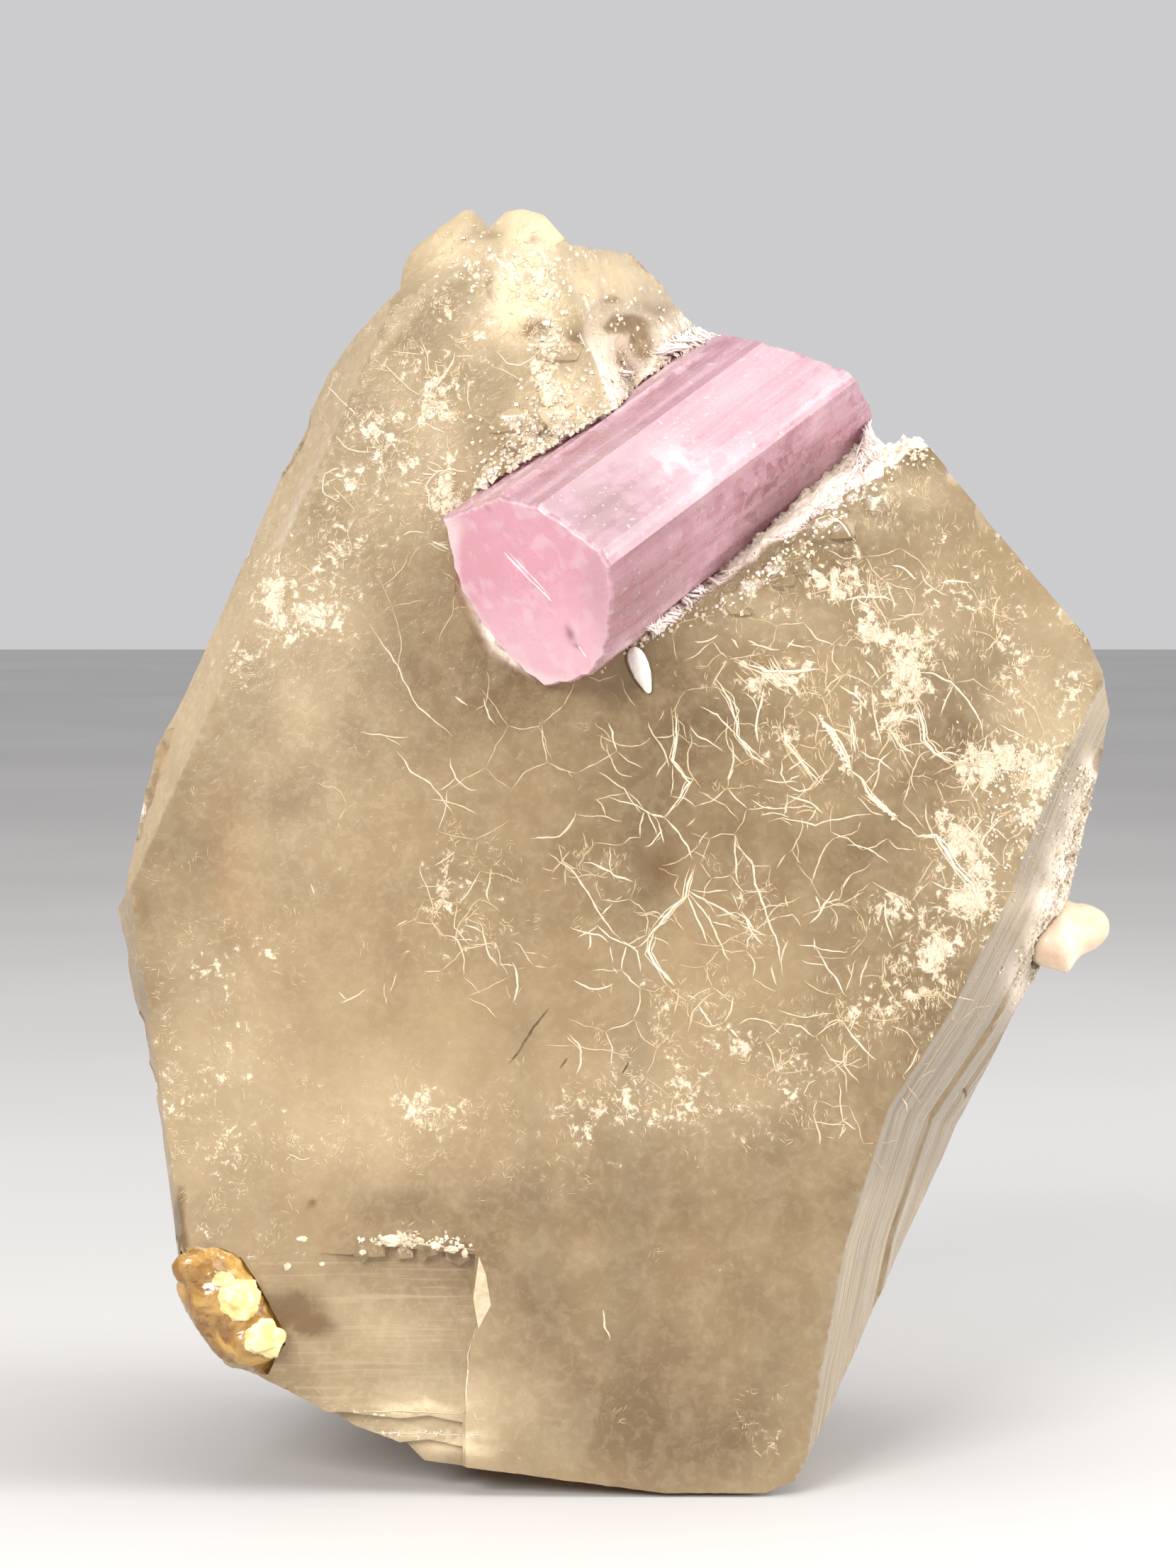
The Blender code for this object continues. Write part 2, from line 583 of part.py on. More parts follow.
def crust_bodies(grow=0.0):
    """The honey-coloured crust: a long lump and the smaller lumps on it."""
    long_lump = bmesh.new()
    rough_ball(long_lump, (0, 0, 0), 1.0, [radius + grow for radius in CRUST_RADII], 0.22, 3, 5.2)
    middle = front_surface(*CRUST_MIDDLE) + Vector((0, 1.2, 0))
    long_lump.transform(Matrix.Translation(middle * MM) @ Matrix.Rotation(CRUST_SLANT, 4, "Y"))
    bodies = [long_lump]
    for number, (x, z, radius) in enumerate(CRUST_LUMPS):
        bm = bmesh.new()
        centre = front_surface(x, z) + Vector((0, -0.4, 0))
        rough_ball(bm, centre, radius + grow, (1.1, 1.0, 0.9), 0.3, 2, number * 3.1)
        bodies.append(bm)
    return bodies


def drop_body(grow=0.0):
    """The small drop-shaped crystal below the tourmaline."""
    top = front_surface(*DROP_TOP)
    tip = front_surface(*DROP_TIP)
    bm = bmesh.new()
    bmesh.ops.create_uvsphere(bm, u_segments=10, v_segments=9, radius=1.0)
    length = (tip - top).length
    turn = (top - tip).normalized().to_track_quat("Z", "Y").to_matrix()
    middle = (top + tip) / 2 + Vector((0, -0.25, 0))
    for vertex in bm.verts:
        up = vertex.co.z
        width = (DROP_RADIUS + grow) * (1 + 0.35 * up)
        place = Vector((vertex.co.x * width, vertex.co.y * width, up * (length / 2 + grow)))
        vertex.co = (middle + turn @ place) * MM
    return bm


def build():
    """Makes every sub-part and places it in the object's collection."""
    for item in list(bpy.data.objects):
        bpy.data.objects.remove(item)
    parts = collection("tourmaline_on_quartz")
    cutters = collection("cutters")

    quartz = add_object("quartz_crystal", crystal_body(), parts)
    combine(quartz, add_object("twin_crystal", twin_body(), cutters), "UNION")
    combine(quartz, add_object("striated_side", striated_side_body(), cutters), "DIFFERENCE")
    for number, sizes in enumerate(BACK_CRYSTALS):
        combine(quartz, add_object("back_crystal_%d" % (number + 1), back_crystal(*sizes), cutters), "UNION")
    combine(quartz, add_object("notch", notch_body(), cutters), "DIFFERENCE")
    for name, bm in ledge_steps():
        combine(quartz, add_object(name, bm, cutters), "DIFFERENCE")
    combine(quartz, add_object("rim_lumps", rim_lumps(), cutters), "UNION", True)
    combine(quartz, add_object("edge_chips", edge_chips(), cutters), "DIFFERENCE", True)
    seat = prism_body(TOUCHING_GAP, -SEAT_OVERRUN, PRISM_LENGTH + SEAT_OVERRUN)
    combine(quartz, add_object("tourmaline_seat", seat, cutters), "DIFFERENCE")
    combine(quartz, add_object("nub_seat", nub_body(TOUCHING_GAP), cutters), "DIFFERENCE")
    combine(quartz, add_object("nub_foot_seat", nub_foot(TOUCHING_GAP), cutters), "DIFFERENCE")
    combine(quartz, add_object("drop_seat", drop_body(TOUCHING_GAP), cutters), "DIFFERENCE")
    for number, bm in enumerate(crust_bodies(TOUCHING_GAP)):
        combine(quartz, add_object("crust_seat_%d" % (number + 1), bm, cutters), "DIFFERENCE")

    weld = quartz.modifiers.new("weld", "WELD")
    weld.merge_threshold = WELD_DISTANCE * MM

    tourmaline = add_object("tourmaline_crystal", tourmaline_body(), parts)
    nub = add_object("feldspar_nub", nub_body(), parts)
    combine(nub, add_object("nub_foot", nub_foot(), cutters), "UNION")
    drop = add_object("white_drop", drop_body(), parts)
    bodies = crust_bodies()
    crust = add_object("amber_lump", bodies[0], parts)
    for number, bm in enumerate(bodies[1:]):
        combine(crust, add_object("crust_lump_%d" % (number + 1), bm, cutters), "UNION")

    for item, name in ((quartz, "smoky_quartz"), (tourmaline, "pink_tourmaline"), (nub, "cream_feldspar"),
                       (crust, "honey_crust"), (drop, "white_crystal")):
        item.data.materials.append(mineral(name))
    for item in (nub, drop):
        item.data.shade_smooth()


build()
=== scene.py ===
"""Looks of the tourmaline on quartz: fine crystal surfaces, threads, grains and materials.

Lengths in the named values are millimetres. X runs to the viewer's right, Y to the back, Z up.
"""
import math
import random

import bmesh
import bpy
import numpy as np
from mathutils import Matrix, Vector, geometry, noise
from mathutils.bvhtree import BVHTree


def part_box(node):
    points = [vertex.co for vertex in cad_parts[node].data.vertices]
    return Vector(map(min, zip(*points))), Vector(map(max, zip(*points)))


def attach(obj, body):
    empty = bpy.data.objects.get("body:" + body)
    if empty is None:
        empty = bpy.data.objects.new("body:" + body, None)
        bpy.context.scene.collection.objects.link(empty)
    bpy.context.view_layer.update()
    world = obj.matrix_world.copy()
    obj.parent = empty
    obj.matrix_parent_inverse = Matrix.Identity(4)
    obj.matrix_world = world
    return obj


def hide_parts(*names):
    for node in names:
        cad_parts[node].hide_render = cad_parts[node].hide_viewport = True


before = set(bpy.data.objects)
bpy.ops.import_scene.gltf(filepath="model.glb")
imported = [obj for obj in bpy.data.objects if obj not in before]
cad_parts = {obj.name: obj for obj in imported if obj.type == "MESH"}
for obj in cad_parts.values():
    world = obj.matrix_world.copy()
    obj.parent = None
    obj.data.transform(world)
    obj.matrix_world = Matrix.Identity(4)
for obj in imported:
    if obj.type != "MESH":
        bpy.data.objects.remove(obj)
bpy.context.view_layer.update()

MM = 0.001
SRGB_WHITE = 255

# The photograph: millimetres to a pixel, and the pixel of the origin, on the plane below
PIXEL = 0.05
ORIGIN_PX = (866, 2098)
PHOTO_PLANE_Y = -14.0
CAMERA = Vector((-1.8, -314.0, 64.9))
CAMERA_TARGET = Vector((-1.8, -14.0, 49.5))
CAMERA_LENS = 97.65

# Quartz: how fine the mesh is on the front and elsewhere
FRONT_SPACING = 0.46
SIDE_SPACING = 0.6
BACK_SPACING = 1.0
FRONT_LEAN = math.radians(2.5)
FRONT_PLANE = (Vector((0, -17.0, 45.0)), Vector((0, -math.cos(FRONT_LEAN), math.sin(FRONT_LEAN))))
NOTCH_REACH = 15.0
NOTCH_ROUGHNESS = 0.3
# Close round the tourmaline the quartz stands a little proud, so the seam stays shut
SEAM_REACH = 9.5
SEAM_LIFT = 0.25
STRIATION_RELIEF = 0.02
# A low step across the front, and the ledge under it that fades out to the left
STEP_HEIGHT = 0.12
STEP_Z = 21.3
LEDGE_TOP_Z = 17.8
LEDGE_FADES_X = -15.5

# Tourmaline: its own frame
PRISM_NEAR_END = Vector((-5.7, -21.0, 63.0))
PRISM_AXIS = Vector((0.617, 0.637, 0.462)).normalized()
PRISM_SPACING = 0.3
PRISM_RELIEF = 0.035


def photo_mm(px, py):
    """X and z on the photograph's plane, from a pixel."""
    return (px - ORIGIN_PX[0]) * PIXEL, (ORIGIN_PX[1] - py) * PIXEL


def linear(*channels):
    """Linear light from sRGB channels of 0 to 255."""
    values = []
    for channel in channels:
        value = channel / SRGB_WHITE
        values.append(value / 12.92 if value <= 0.04045 else ((value + 0.055) / 1.055) ** 2.4)
    return values


def smooth_step(value, low, high):
    """0 below the low value, 1 above the high one, and a smooth rise between them."""
    part = min(1.0, max(0.0, (value - low) / (high - low)))
    return part * part * (3 - 2 * part)


def uneven(x, y, z):
    """Smooth noise at three numbers."""
    return noise.noise(Vector((x, y, z)))


# Fine meshes made from the solids of the frame

def cad_bmesh(node):
    """The node's solid in millimetres, with its flat facets as single faces."""
    bm = bmesh.new()
    bm.from_mesh(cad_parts[node].data)
    bm.transform(Matrix.Scale(1 / MM, 4))
    bmesh.ops.remove_doubles(bm, verts=bm.verts, dist=0.001)
    bmesh.ops.dissolve_limit(bm, angle_limit=math.radians(0.5), verts=bm.verts, edges=bm.edges)
    bm.normal_update()
    return bm


def split_edges(bm, spacing):
    """Splits every long edge to pieces near the spacing there."""
    for edge in list(bm.edges):
        middle = (edge.verts[0].co + edge.verts[1].co) / 2
        pieces = math.ceil(edge.calc_length() / spacing(middle, edge.link_faces[0].normal))
        for left in range(pieces, 1, -1):
            edge, vertex = bmesh.utils.edge_split(edge, edge.verts[0], 1 / left)
            following = [other for other in vertex.link_edges if other is not edge]
            edge = following[0]


def inner_points(outline, spacing, draw):
    """Jittered points inside a flat outline, clear of its border."""
    low, high = outline.min(0), outline.max(0)
    rows = int((high[1] - low[1]) / (spacing * 0.87)) + 1
    columns = int((high[0] - low[0]) / spacing) + 1
    if rows * columns < 2:
        return np.zeros((0, 2))
    grid = np.array([(low[0] + (column + 0.5 * (row % 2)) * spacing, low[1] + row * spacing * 0.87)
                     for row in range(rows) for column in range(columns)])
    grid += draw.uniform(-0.18, 0.18, grid.shape) * spacing
    inside = np.zeros(len(grid), bool)
    clearance = np.full(len(grid), 1e9)
    ends = np.roll(outline, -1, axis=0)
    for start, end in zip(outline, ends):
        crossing = (start[1] > grid[:, 1]) != (end[1] > grid[:, 1])
        if crossing.any():
            slope = (end[0] - start[0]) / (end[1] - start[1])
            inside ^= crossing & (grid[:, 0] < start[0] + slope * (grid[:, 1] - start[1]))
        side = end - start
        part = np.clip(((grid - start) @ side) / max(side @ side, 1e-12), 0, 1)
        gap = grid - start - part[:, None] * side
        clearance = np.minimum(clearance, np.einsum("ij,ij->i", gap, gap))
    return grid[inside & (clearance > (0.55 * spacing) ** 2)]


def fine_mesh(node, spacing):
    """Vertices and triangles in millimetres: the solid's facets, filled with even triangles."""
    bm = cad_bmesh(node)
    split_edges(bm, spacing)
    bm.verts.index_update()
    bm.normal_update()
    vertices = [vertex.co.copy() for vertex in bm.verts]
    triangles = []
    draw = np.random.default_rng(7)
    for face in bm.faces:
        loop = [vertex.index for vertex in face.verts]
        if len(loop) == 3:
            triangles.append(loop)
            continue
        right = face.normal.orthogonal().normalized()
        up = face.normal.cross(right)
        lift = face.calc_center_median().dot(face.normal)
        outline = np.array([(vertices[index].dot(right), vertices[index].dot(up)) for index in loop])
        step = spacing(face.calc_center_median(), face.normal)
        added = inner_points(outline, step, draw)
        points = [Vector(point) for point in np.vstack([outline, added])]
        border = [(index, (index + 1) % len(loop)) for index in range(len(loop))]
        filled = geometry.delaunay_2d_cdt(points, border, [list(range(len(loop)))], 1, 1e-6)
        flat, faces, origins = filled[0], filled[2], filled[3]
        names = []
        for point, origin in zip(flat, origins):
            if origin and origin[0] < len(loop):
                names.append(loop[origin[0]])
                continue
            vertices.append(right * point.x + up * point.y + face.normal * lift)
            names.append(len(vertices) - 1)
        triangles.extend([names[corner] for corner in made] for made in faces)
    bm.free()
    return vertices, triangles


def add_piece(name, vertices, faces, material, sharp_angle=None, replaced=None):
    """A piece on the root, of points in millimetres, shaded smooth up to an angle in degrees."""
    mesh = bpy.data.meshes.new(name)
    mesh.from_pydata([tuple(vertex * MM) for vertex in vertices], [], faces)
    mesh.validate()
    mesh.shade_smooth()
    if sharp_angle:
        mesh.set_sharp_from_angle(angle=math.radians(sharp_angle))
    mesh.materials.append(material)
    item = bpy.data.objects.new(name, mesh)
    bpy.context.scene.collection.objects.link(item)
    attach(item, "root")
    if replaced:
        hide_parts(replaced)
    return item


def vertex_normals(vertices, triangles):
    """The normal of each vertex, from the triangles round it."""
    points = np.array([tuple(vertex) for vertex in vertices])
    corners = points[np.array(triangles)]
    across = np.cross(corners[:, 1] - corners[:, 0], corners[:, 2] - corners[:, 0])
    normals = np.zeros_like(points)
    for corner in range(3):
        np.add.at(normals, np.array(triangles)[:, corner], across)
    lengths = np.linalg.norm(normals, axis=1)
    normals /= np.maximum(lengths, 1e-12)[:, None]
    return [Vector(normal) for normal in normals]


def paint(item, marks):
    """Stores the marks of every vertex, a row of named values each, for the material to read."""
    for name in marks[0]:
        attribute = item.data.attributes.new(name, "FLOAT", "POINT")
        attribute.data.foreach_set("value", [row[name] for row in marks])


# Where things are on the quartz: x, y, half width and half height in photograph pixels, and strength
# Stains; the spots near pixels 404 to 440 across and 1852 to 1878 down are painted shadow that the honey
# crust casts to its lower right
STAINS_AND_SHADOW_PX = [
    (690, 338, 24, 11, 0.45), (645, 430, 45, 55, 0.2), (692, 405, 8, 26, 0.6), (755, 343, 11, 7, 0.6),
    (745, 397, 11, 20, 0.5), (757, 472, 20, 16, 0.8), (815, 480, 24, 18, 0.5), (865, 431, 18, 8, 0.6),
    (930, 440, 30, 14, 0.5), (908, 488, 16, 28, 1.0), (885, 462, 34, 11, 1.0), (880, 522, 26, 40, 0.6),
    (765, 620, 10, 20, 0.7), (732, 655, 13, 15, 0.7), (440, 1705, 9, 9, 0.7), (252, 1735, 9, 62, 0.9),
    (410, 1852, 48, 30, 0.7), (645, 1768, 26, 7, 0.9), (1000, 2035, 120, 50, 0.2), (930, 1225, 34, 42, 0.6),
    (640, 1590, 60, 40, 0.15), (200, 1290, 14, 50, 0.4), (245, 1090, 10, 40, 0.3), (404, 1856, 56, 34, 0.75),
    (440, 1878, 30, 16, 0.85), (424, 1712, 34, 18, 0.35), (596, 1772, 7, 8, 0.8), (243, 1770, 8, 40, 1.0),
    (640, 1774, 20, 8, 1.0), (660, 1815, 8, 14, 0.4),
]
LACE_PX = [
    (430, 850, 75, 75, 1.0), (350, 930, 50, 50, 0.6), (520, 700, 60, 60, 0.6), (560, 620, 80, 80, 0.75),
    (610, 560, 60, 70, 0.7), (500, 560, 40, 60, 0.4), (640, 690, 70, 50, 0.8), (820, 600, 60, 50, 1.0),
    (770, 660, 70, 40, 0.9), (740, 400, 50, 70, 1.0), (680, 440, 80, 90, 0.6), (840, 430, 60, 30, 0.5),
    (930, 470, 50, 50, 0.8), (800, 560, 40, 70, 0.8), (700, 470, 26, 50, 0.5), (1095, 955, 75, 30, 0.8),
    (1110, 1060, 36, 50, 0.7), (1195, 1050, 30, 60, 0.6), (1255, 1000, 60, 50, 0.8), (1290, 930, 60, 80, 0.9),
    (1180, 820, 50, 60, 0.8), (1240, 890, 60, 60, 0.8), (1330, 870, 60, 60, 0.6), (1400, 1090, 60, 50, 1.0),
    (1460, 1120, 50, 90, 1.0), (1350, 1210, 40, 70, 1.0), (1380, 1260, 46, 60, 1.0),
    (1265, 1290, 36, 26, 0.9), (1310, 1340, 50, 60, 1.0), (1280, 1400, 46, 60, 0.8),
    (1220, 1440, 50, 50, 0.5), (1480, 1020, 60, 80, 0.7), (1440, 950, 60, 80, 0.5), (640, 1260, 50, 70, 0.6),
    (620, 1330, 50, 50, 0.5), (700, 1310, 60, 60, 0.35), (960, 1420, 90, 60, 0.4),
    (1000, 1480, 120, 50, 0.55), (1060, 1560, 80, 50, 0.6), (900, 1560, 110, 50, 0.7),
    (820, 1600, 80, 50, 0.5), (600, 1580, 60, 50, 0.7), (760, 1640, 100, 30, 0.35), (1130, 1480, 50, 60, 0.5),
    (300, 1370, 70, 60, 0.45), (380, 1340, 26, 26, 0.6), (262, 1560, 36, 60, 0.7), (300, 1640, 80, 80, 0.5),
    (400, 1600, 100, 70, 0.4), (300, 1745, 70, 18, 0.5), (560, 1757, 34, 9, 1.0), (580, 2005, 80, 9, 0.9),
    (565, 2040, 80, 7, 0.9), (1085, 2045, 28, 38, 0.6), (850, 1240, 40, 50, 0.4), (1060, 1300, 30, 60, 0.4),
    (1522, 1190, 22, 110, 1.0), (1240, 700, 60, 40, 0.7), (1060, 860, 110, 26, 0.5), (1430, 900, 80, 80, 0.5),
    (1500, 960, 50, 80, 0.6), (1340, 760, 60, 60, 0.4), (1400, 830, 60, 60, 0.45), (290, 1480, 80, 110, 0.45),
    (760, 470, 40, 110, 0.9), (790, 610, 60, 50, 1.0), (840, 360, 60, 16, 0.5), (480, 780, 60, 70, 0.5),
    (400, 760, 40, 60, 0.35), (540, 500, 60, 60, 0.4), (900, 400, 60, 30, 0.3),
]
PALE_PX = [
    (860, 395, 90, 46, 0.7), (630, 340, 80, 60, 1.0), (750, 330, 80, 60, 1.0), (740, 410, 60, 90, 1.0),
    (680, 430, 80, 90, 0.5), (820, 590, 80, 70, 0.8), (430, 1000, 120, 260, 0.45), (300, 1500, 120, 240, 0.3),
    (1480, 1050, 90, 160, 0.6), (1400, 1250, 80, 120, 0.4), (560, 640, 120, 120, 0.5),
    (1240, 700, 90, 50, 0.8), (600, 2000, 140, 60, 0.5), (560, 1880, 110, 80, 0.35), (585, 1997, 75, 9, 1.0),
    (602, 2034, 82, 6, 1.0), (630, 2052, 54, 12, 0.9), (500, 1600, 200, 90, 0.3), (1300, 900, 120, 120, 0.3),
    (960, 1560, 200, 70, 0.3), (1100, 870, 110, 30, 0.4),
]
BROWN_PX = [
    (715, 560, 80, 90, 0.35), (650, 430, 44, 56, 0.6), (700, 1712, 230, 34, 0.3), (1200, 1220, 130, 110, 0.6),
    (1020, 1000, 110, 90, 0.5), (1330, 1010, 60, 60, 0.6), (930, 1230, 90, 90, 0.5), (640, 780, 120, 90, 0.4),
    (900, 1800, 240, 160, 0.45), (1010, 2030, 130, 60, 0.7), (730, 930, 60, 60, 0.6),
    (1400, 960, 50, 60, 0.3), (1090, 1750, 150, 150, 0.45), (1180, 1560, 120, 150, 0.3),
    (760, 1710, 220, 40, 0.3),
]
SMOOTH_FACET_PX = [(860, 395, 100, 44, 1.0), (800, 400, 60, 60, 0.8)]
ROUGH_EDGE_PX = [
    (1538, 1100, 11, 34, 0.9), (1527, 1160, 18, 40, 1.0), (1508, 1225, 26, 40, 1.0),
    (1488, 1280, 28, 34, 1.0), (1468, 1335, 20, 36, 0.8), (1440, 1392, 20, 40, 0.6),
]
PITS_PX = [
    (905, 490, 16, 20, 0.6), (882, 464, 24, 8, 0.35), (757, 472, 14, 12, 0.25), (815, 482, 18, 14, 0.25),
]
# Where threads cross the front
THREADED_PX = [
    (760, 1150, 160, 140, 0.4), (1240, 1420, 90, 160, 0.7), (860, 1100, 110, 90, 0.6),
    (1400, 1000, 60, 90, 0.5), (1330, 1130, 140, 200, 0.8), (1250, 920, 140, 120, 1.0),
    (1090, 1080, 170, 160, 0.9), (960, 1280, 170, 150, 1.0), (700, 1000, 160, 120, 0.12),
    (600, 800, 120, 80, 0.4), (600, 600, 130, 110, 0.6), (1060, 1440, 200, 90, 0.8),
    (650, 1280, 120, 110, 0.5), (980, 960, 110, 60, 0.9), (1150, 1400, 120, 120, 0.5),
    (760, 1400, 120, 80, 0.3),
]


def spots(table, px, py):
    """How strongly the named spots cover a pixel of the photograph, from 0 to 1."""
    cover = 0.0
    for x, y, half_width, half_height, strength in table:
        away = ((px - x) / half_width) ** 2 + ((py - y) / half_height) ** 2
        if away < 6:
            cover = max(cover, strength * math.exp(-away * 0.7))
    return cover


def lace_density(px, py):
    """How thick the white lace is at a pixel: the named spots, broken into clumps."""
    clump = uneven(px * 0.02, py * 0.02, 5.0) + 0.6 * uneven(px * 0.055, py * 0.055, 1.0)
    return spots(LACE_PX, px, py) * (0.4 + 0.6 * smooth_step(clump, -0.35, 0.4))


def seen_pixel(point):
    """The photograph's pixel of a point in millimetres."""
    scale = (PHOTO_PLANE_Y - CAMERA.y) / (point.y - CAMERA.y)
    x = CAMERA.x + (point.x - CAMERA.x) * scale
    z = CAMERA.z + (point.z - CAMERA.z) * scale
    return ORIGIN_PX[0] + x / PIXEL, ORIGIN_PX[1] - z / PIXEL


# Height and x of the crystal's left edge, and height and paleness of the striated side
LEFT_EDGE_PX = [
    (400, 563), (478, 500), (530, 460), (660, 400), (820, 330), (1000, 250), (1090, 203), (1282, 167),
]
SIDE_BANDS_PX = [
    (1000, 0.5), (1100, 0.15), (1235, 0.1), (1275, 0.55), (1320, 0.15), (1640, 0.1), (1700, 0.3), (2080, 0.3),
]
NO_EDGE_PX = -1000


def at_height(table, py, outside):
    """The value at a height of the photograph, from a table of heights and values."""
    for (upper, before), (lower, after) in zip(table, table[1:]):
        if upper <= py < lower:
            return before + (after - before) * (py - upper) / (lower - upper)
    return outside


def depth_behind_front(point):
    """How far a point is behind the plane of the front face."""
    return (FRONT_PLANE[0] - point).dot(FRONT_PLANE[1])


def prism_place(point):
    """How far a point is along the tourmaline's axis, and how far from that axis."""
    along = (point - PRISM_NEAR_END).dot(PRISM_AXIS)
    return along, (point - PRISM_NEAR_END - PRISM_AXIS * along).length


def notch_share(point, normal):
    """1 in the crumbly notch around the tourmaline, 0 on the sound faces."""
    along, away = prism_place(point)
    behind = depth_behind_front(point)
    if not -6 < along < 40 or normal.y > 0.5:
        return 0.0
    px, py = seen_pixel(point)
    smooth_facet = spots(SMOOTH_FACET_PX, px, py)
    share = smooth_step(NOTCH_REACH + 5 - away, 0, 5) * smooth_step(behind, 0.12, 0.8) * (1 - smooth_facet)
    return share * (0.45 + 0.55 * smooth_step(py, 430, 600))


def striated_share(point, normal):
    """1 on the striated side at the lower right."""
    facing = smooth_step(normal.x, 0.5, 0.7) * smooth_step(-normal.y, -0.34, -0.2)
    return facing * smooth_step(61 - point.z, 0, 3) * smooth_step(point.x, 8, 12)


def step_edge(point):
    """The height of the uneven edge of the low step on the front."""
    return STEP_Z + 0.4 * uneven(point.x * 0.3, 0, 0)


def quartz_lift(point, normal):
    """The fine relief of the quartz: how far its surface stands out from the flat facet."""
    behind = depth_behind_front(point)
    lift = 0.03 * noise.noise(point * 0.35) + 0.012 * noise.noise(point * 1.1)
    crumbly = notch_share(point, normal)
    if crumbly:
        if prism_place(point)[1] < SEAM_REACH:
            lift += SEAM_LIFT * crumbly
        rough = noise.noise(point * 0.8) + 0.7 * noise.noise(point * 1.9)
        rough -= 0.4 * abs(noise.noise(point * 1.2))
        lift += NOTCH_ROUGHNESS * crumbly * rough
    striated = striated_share(point, normal)
    if normal.y < -0.2:
        lift -= spots(PITS_PX, *seen_pixel(point))
    if striated:
        lift += STRIATION_RELIEF * striated * uneven(behind * 1.9, point.z * 0.03, 3.3)
        lift += 0.6 * STRIATION_RELIEF * striated * uneven(behind * 4.3, point.z * 0.05, 8.1)
    if normal.y < -0.9:
        px, py = seen_pixel(point)
        inside = smooth_step(px, 460, 520) * smooth_step(1010 - px, 0, 60)
        low = smooth_step(step_edge(point) - point.z, 0, 0.35) * smooth_step(point.z, 17.5, 20)
        lift -= STEP_HEIGHT * inside * low
        lift += 0.05 * panel_share(px, py) * uneven(point.x * 0.08, point.z * 1.6, 1.0)
    elif not striated:
        lift += 0.05 * uneven(point.x * 1.3, point.y * 1.3, point.z * 0.35)
    return lift


def panel_share(px, py):
    """1 on the layered panel under the ledge at the lower left."""
    return smooth_step(690 - px, 0, 30) * smooth_step(py, 1760, 1790)


def ledge_fill(point):
    """How far the ledge is filled forward where it fades out towards the left."""
    behind = depth_behind_front(point)
    if point.z > LEDGE_TOP_Z or not 0.02 < behind < 1.6:
        return 0.0
    return behind * smooth_step(LEDGE_FADES_X - point.x, 0, 6.0) * (1 - smooth_step(behind, 0.9, 1.6))


def quartz_spacing(point, normal):
    """The size of the quartz's triangles at a point."""
    if prism_place(point)[1] < NOTCH_REACH and depth_behind_front(point) > 0.2 and normal.y < 0.5:
        return FRONT_SPACING * 0.8
    if normal.y < -0.3:
        return FRONT_SPACING
    return SIDE_SPACING if normal.y < 0.4 else BACK_SPACING


# Materials

SMOKY_DARK = (138, 113, 79)
SMOKY_LIGHT = (200, 174, 131)
PALE_CREAM = (234, 213, 176)
LACE_WHITE = (218, 207, 186)
CRUMB_WHITE = (248, 236, 224)
STRIATED_DARK = (150, 139, 119)
STRIATED_LIGHT = (200, 188, 166)
STAIN_AND_SHADOW_BROWN = (128, 98, 58)
# Brown of the stains and of the painted shadow beside the honey crust
SMOKE_ABSORPTION = (222, 190, 146)
SMOKE_DENSITY = 30


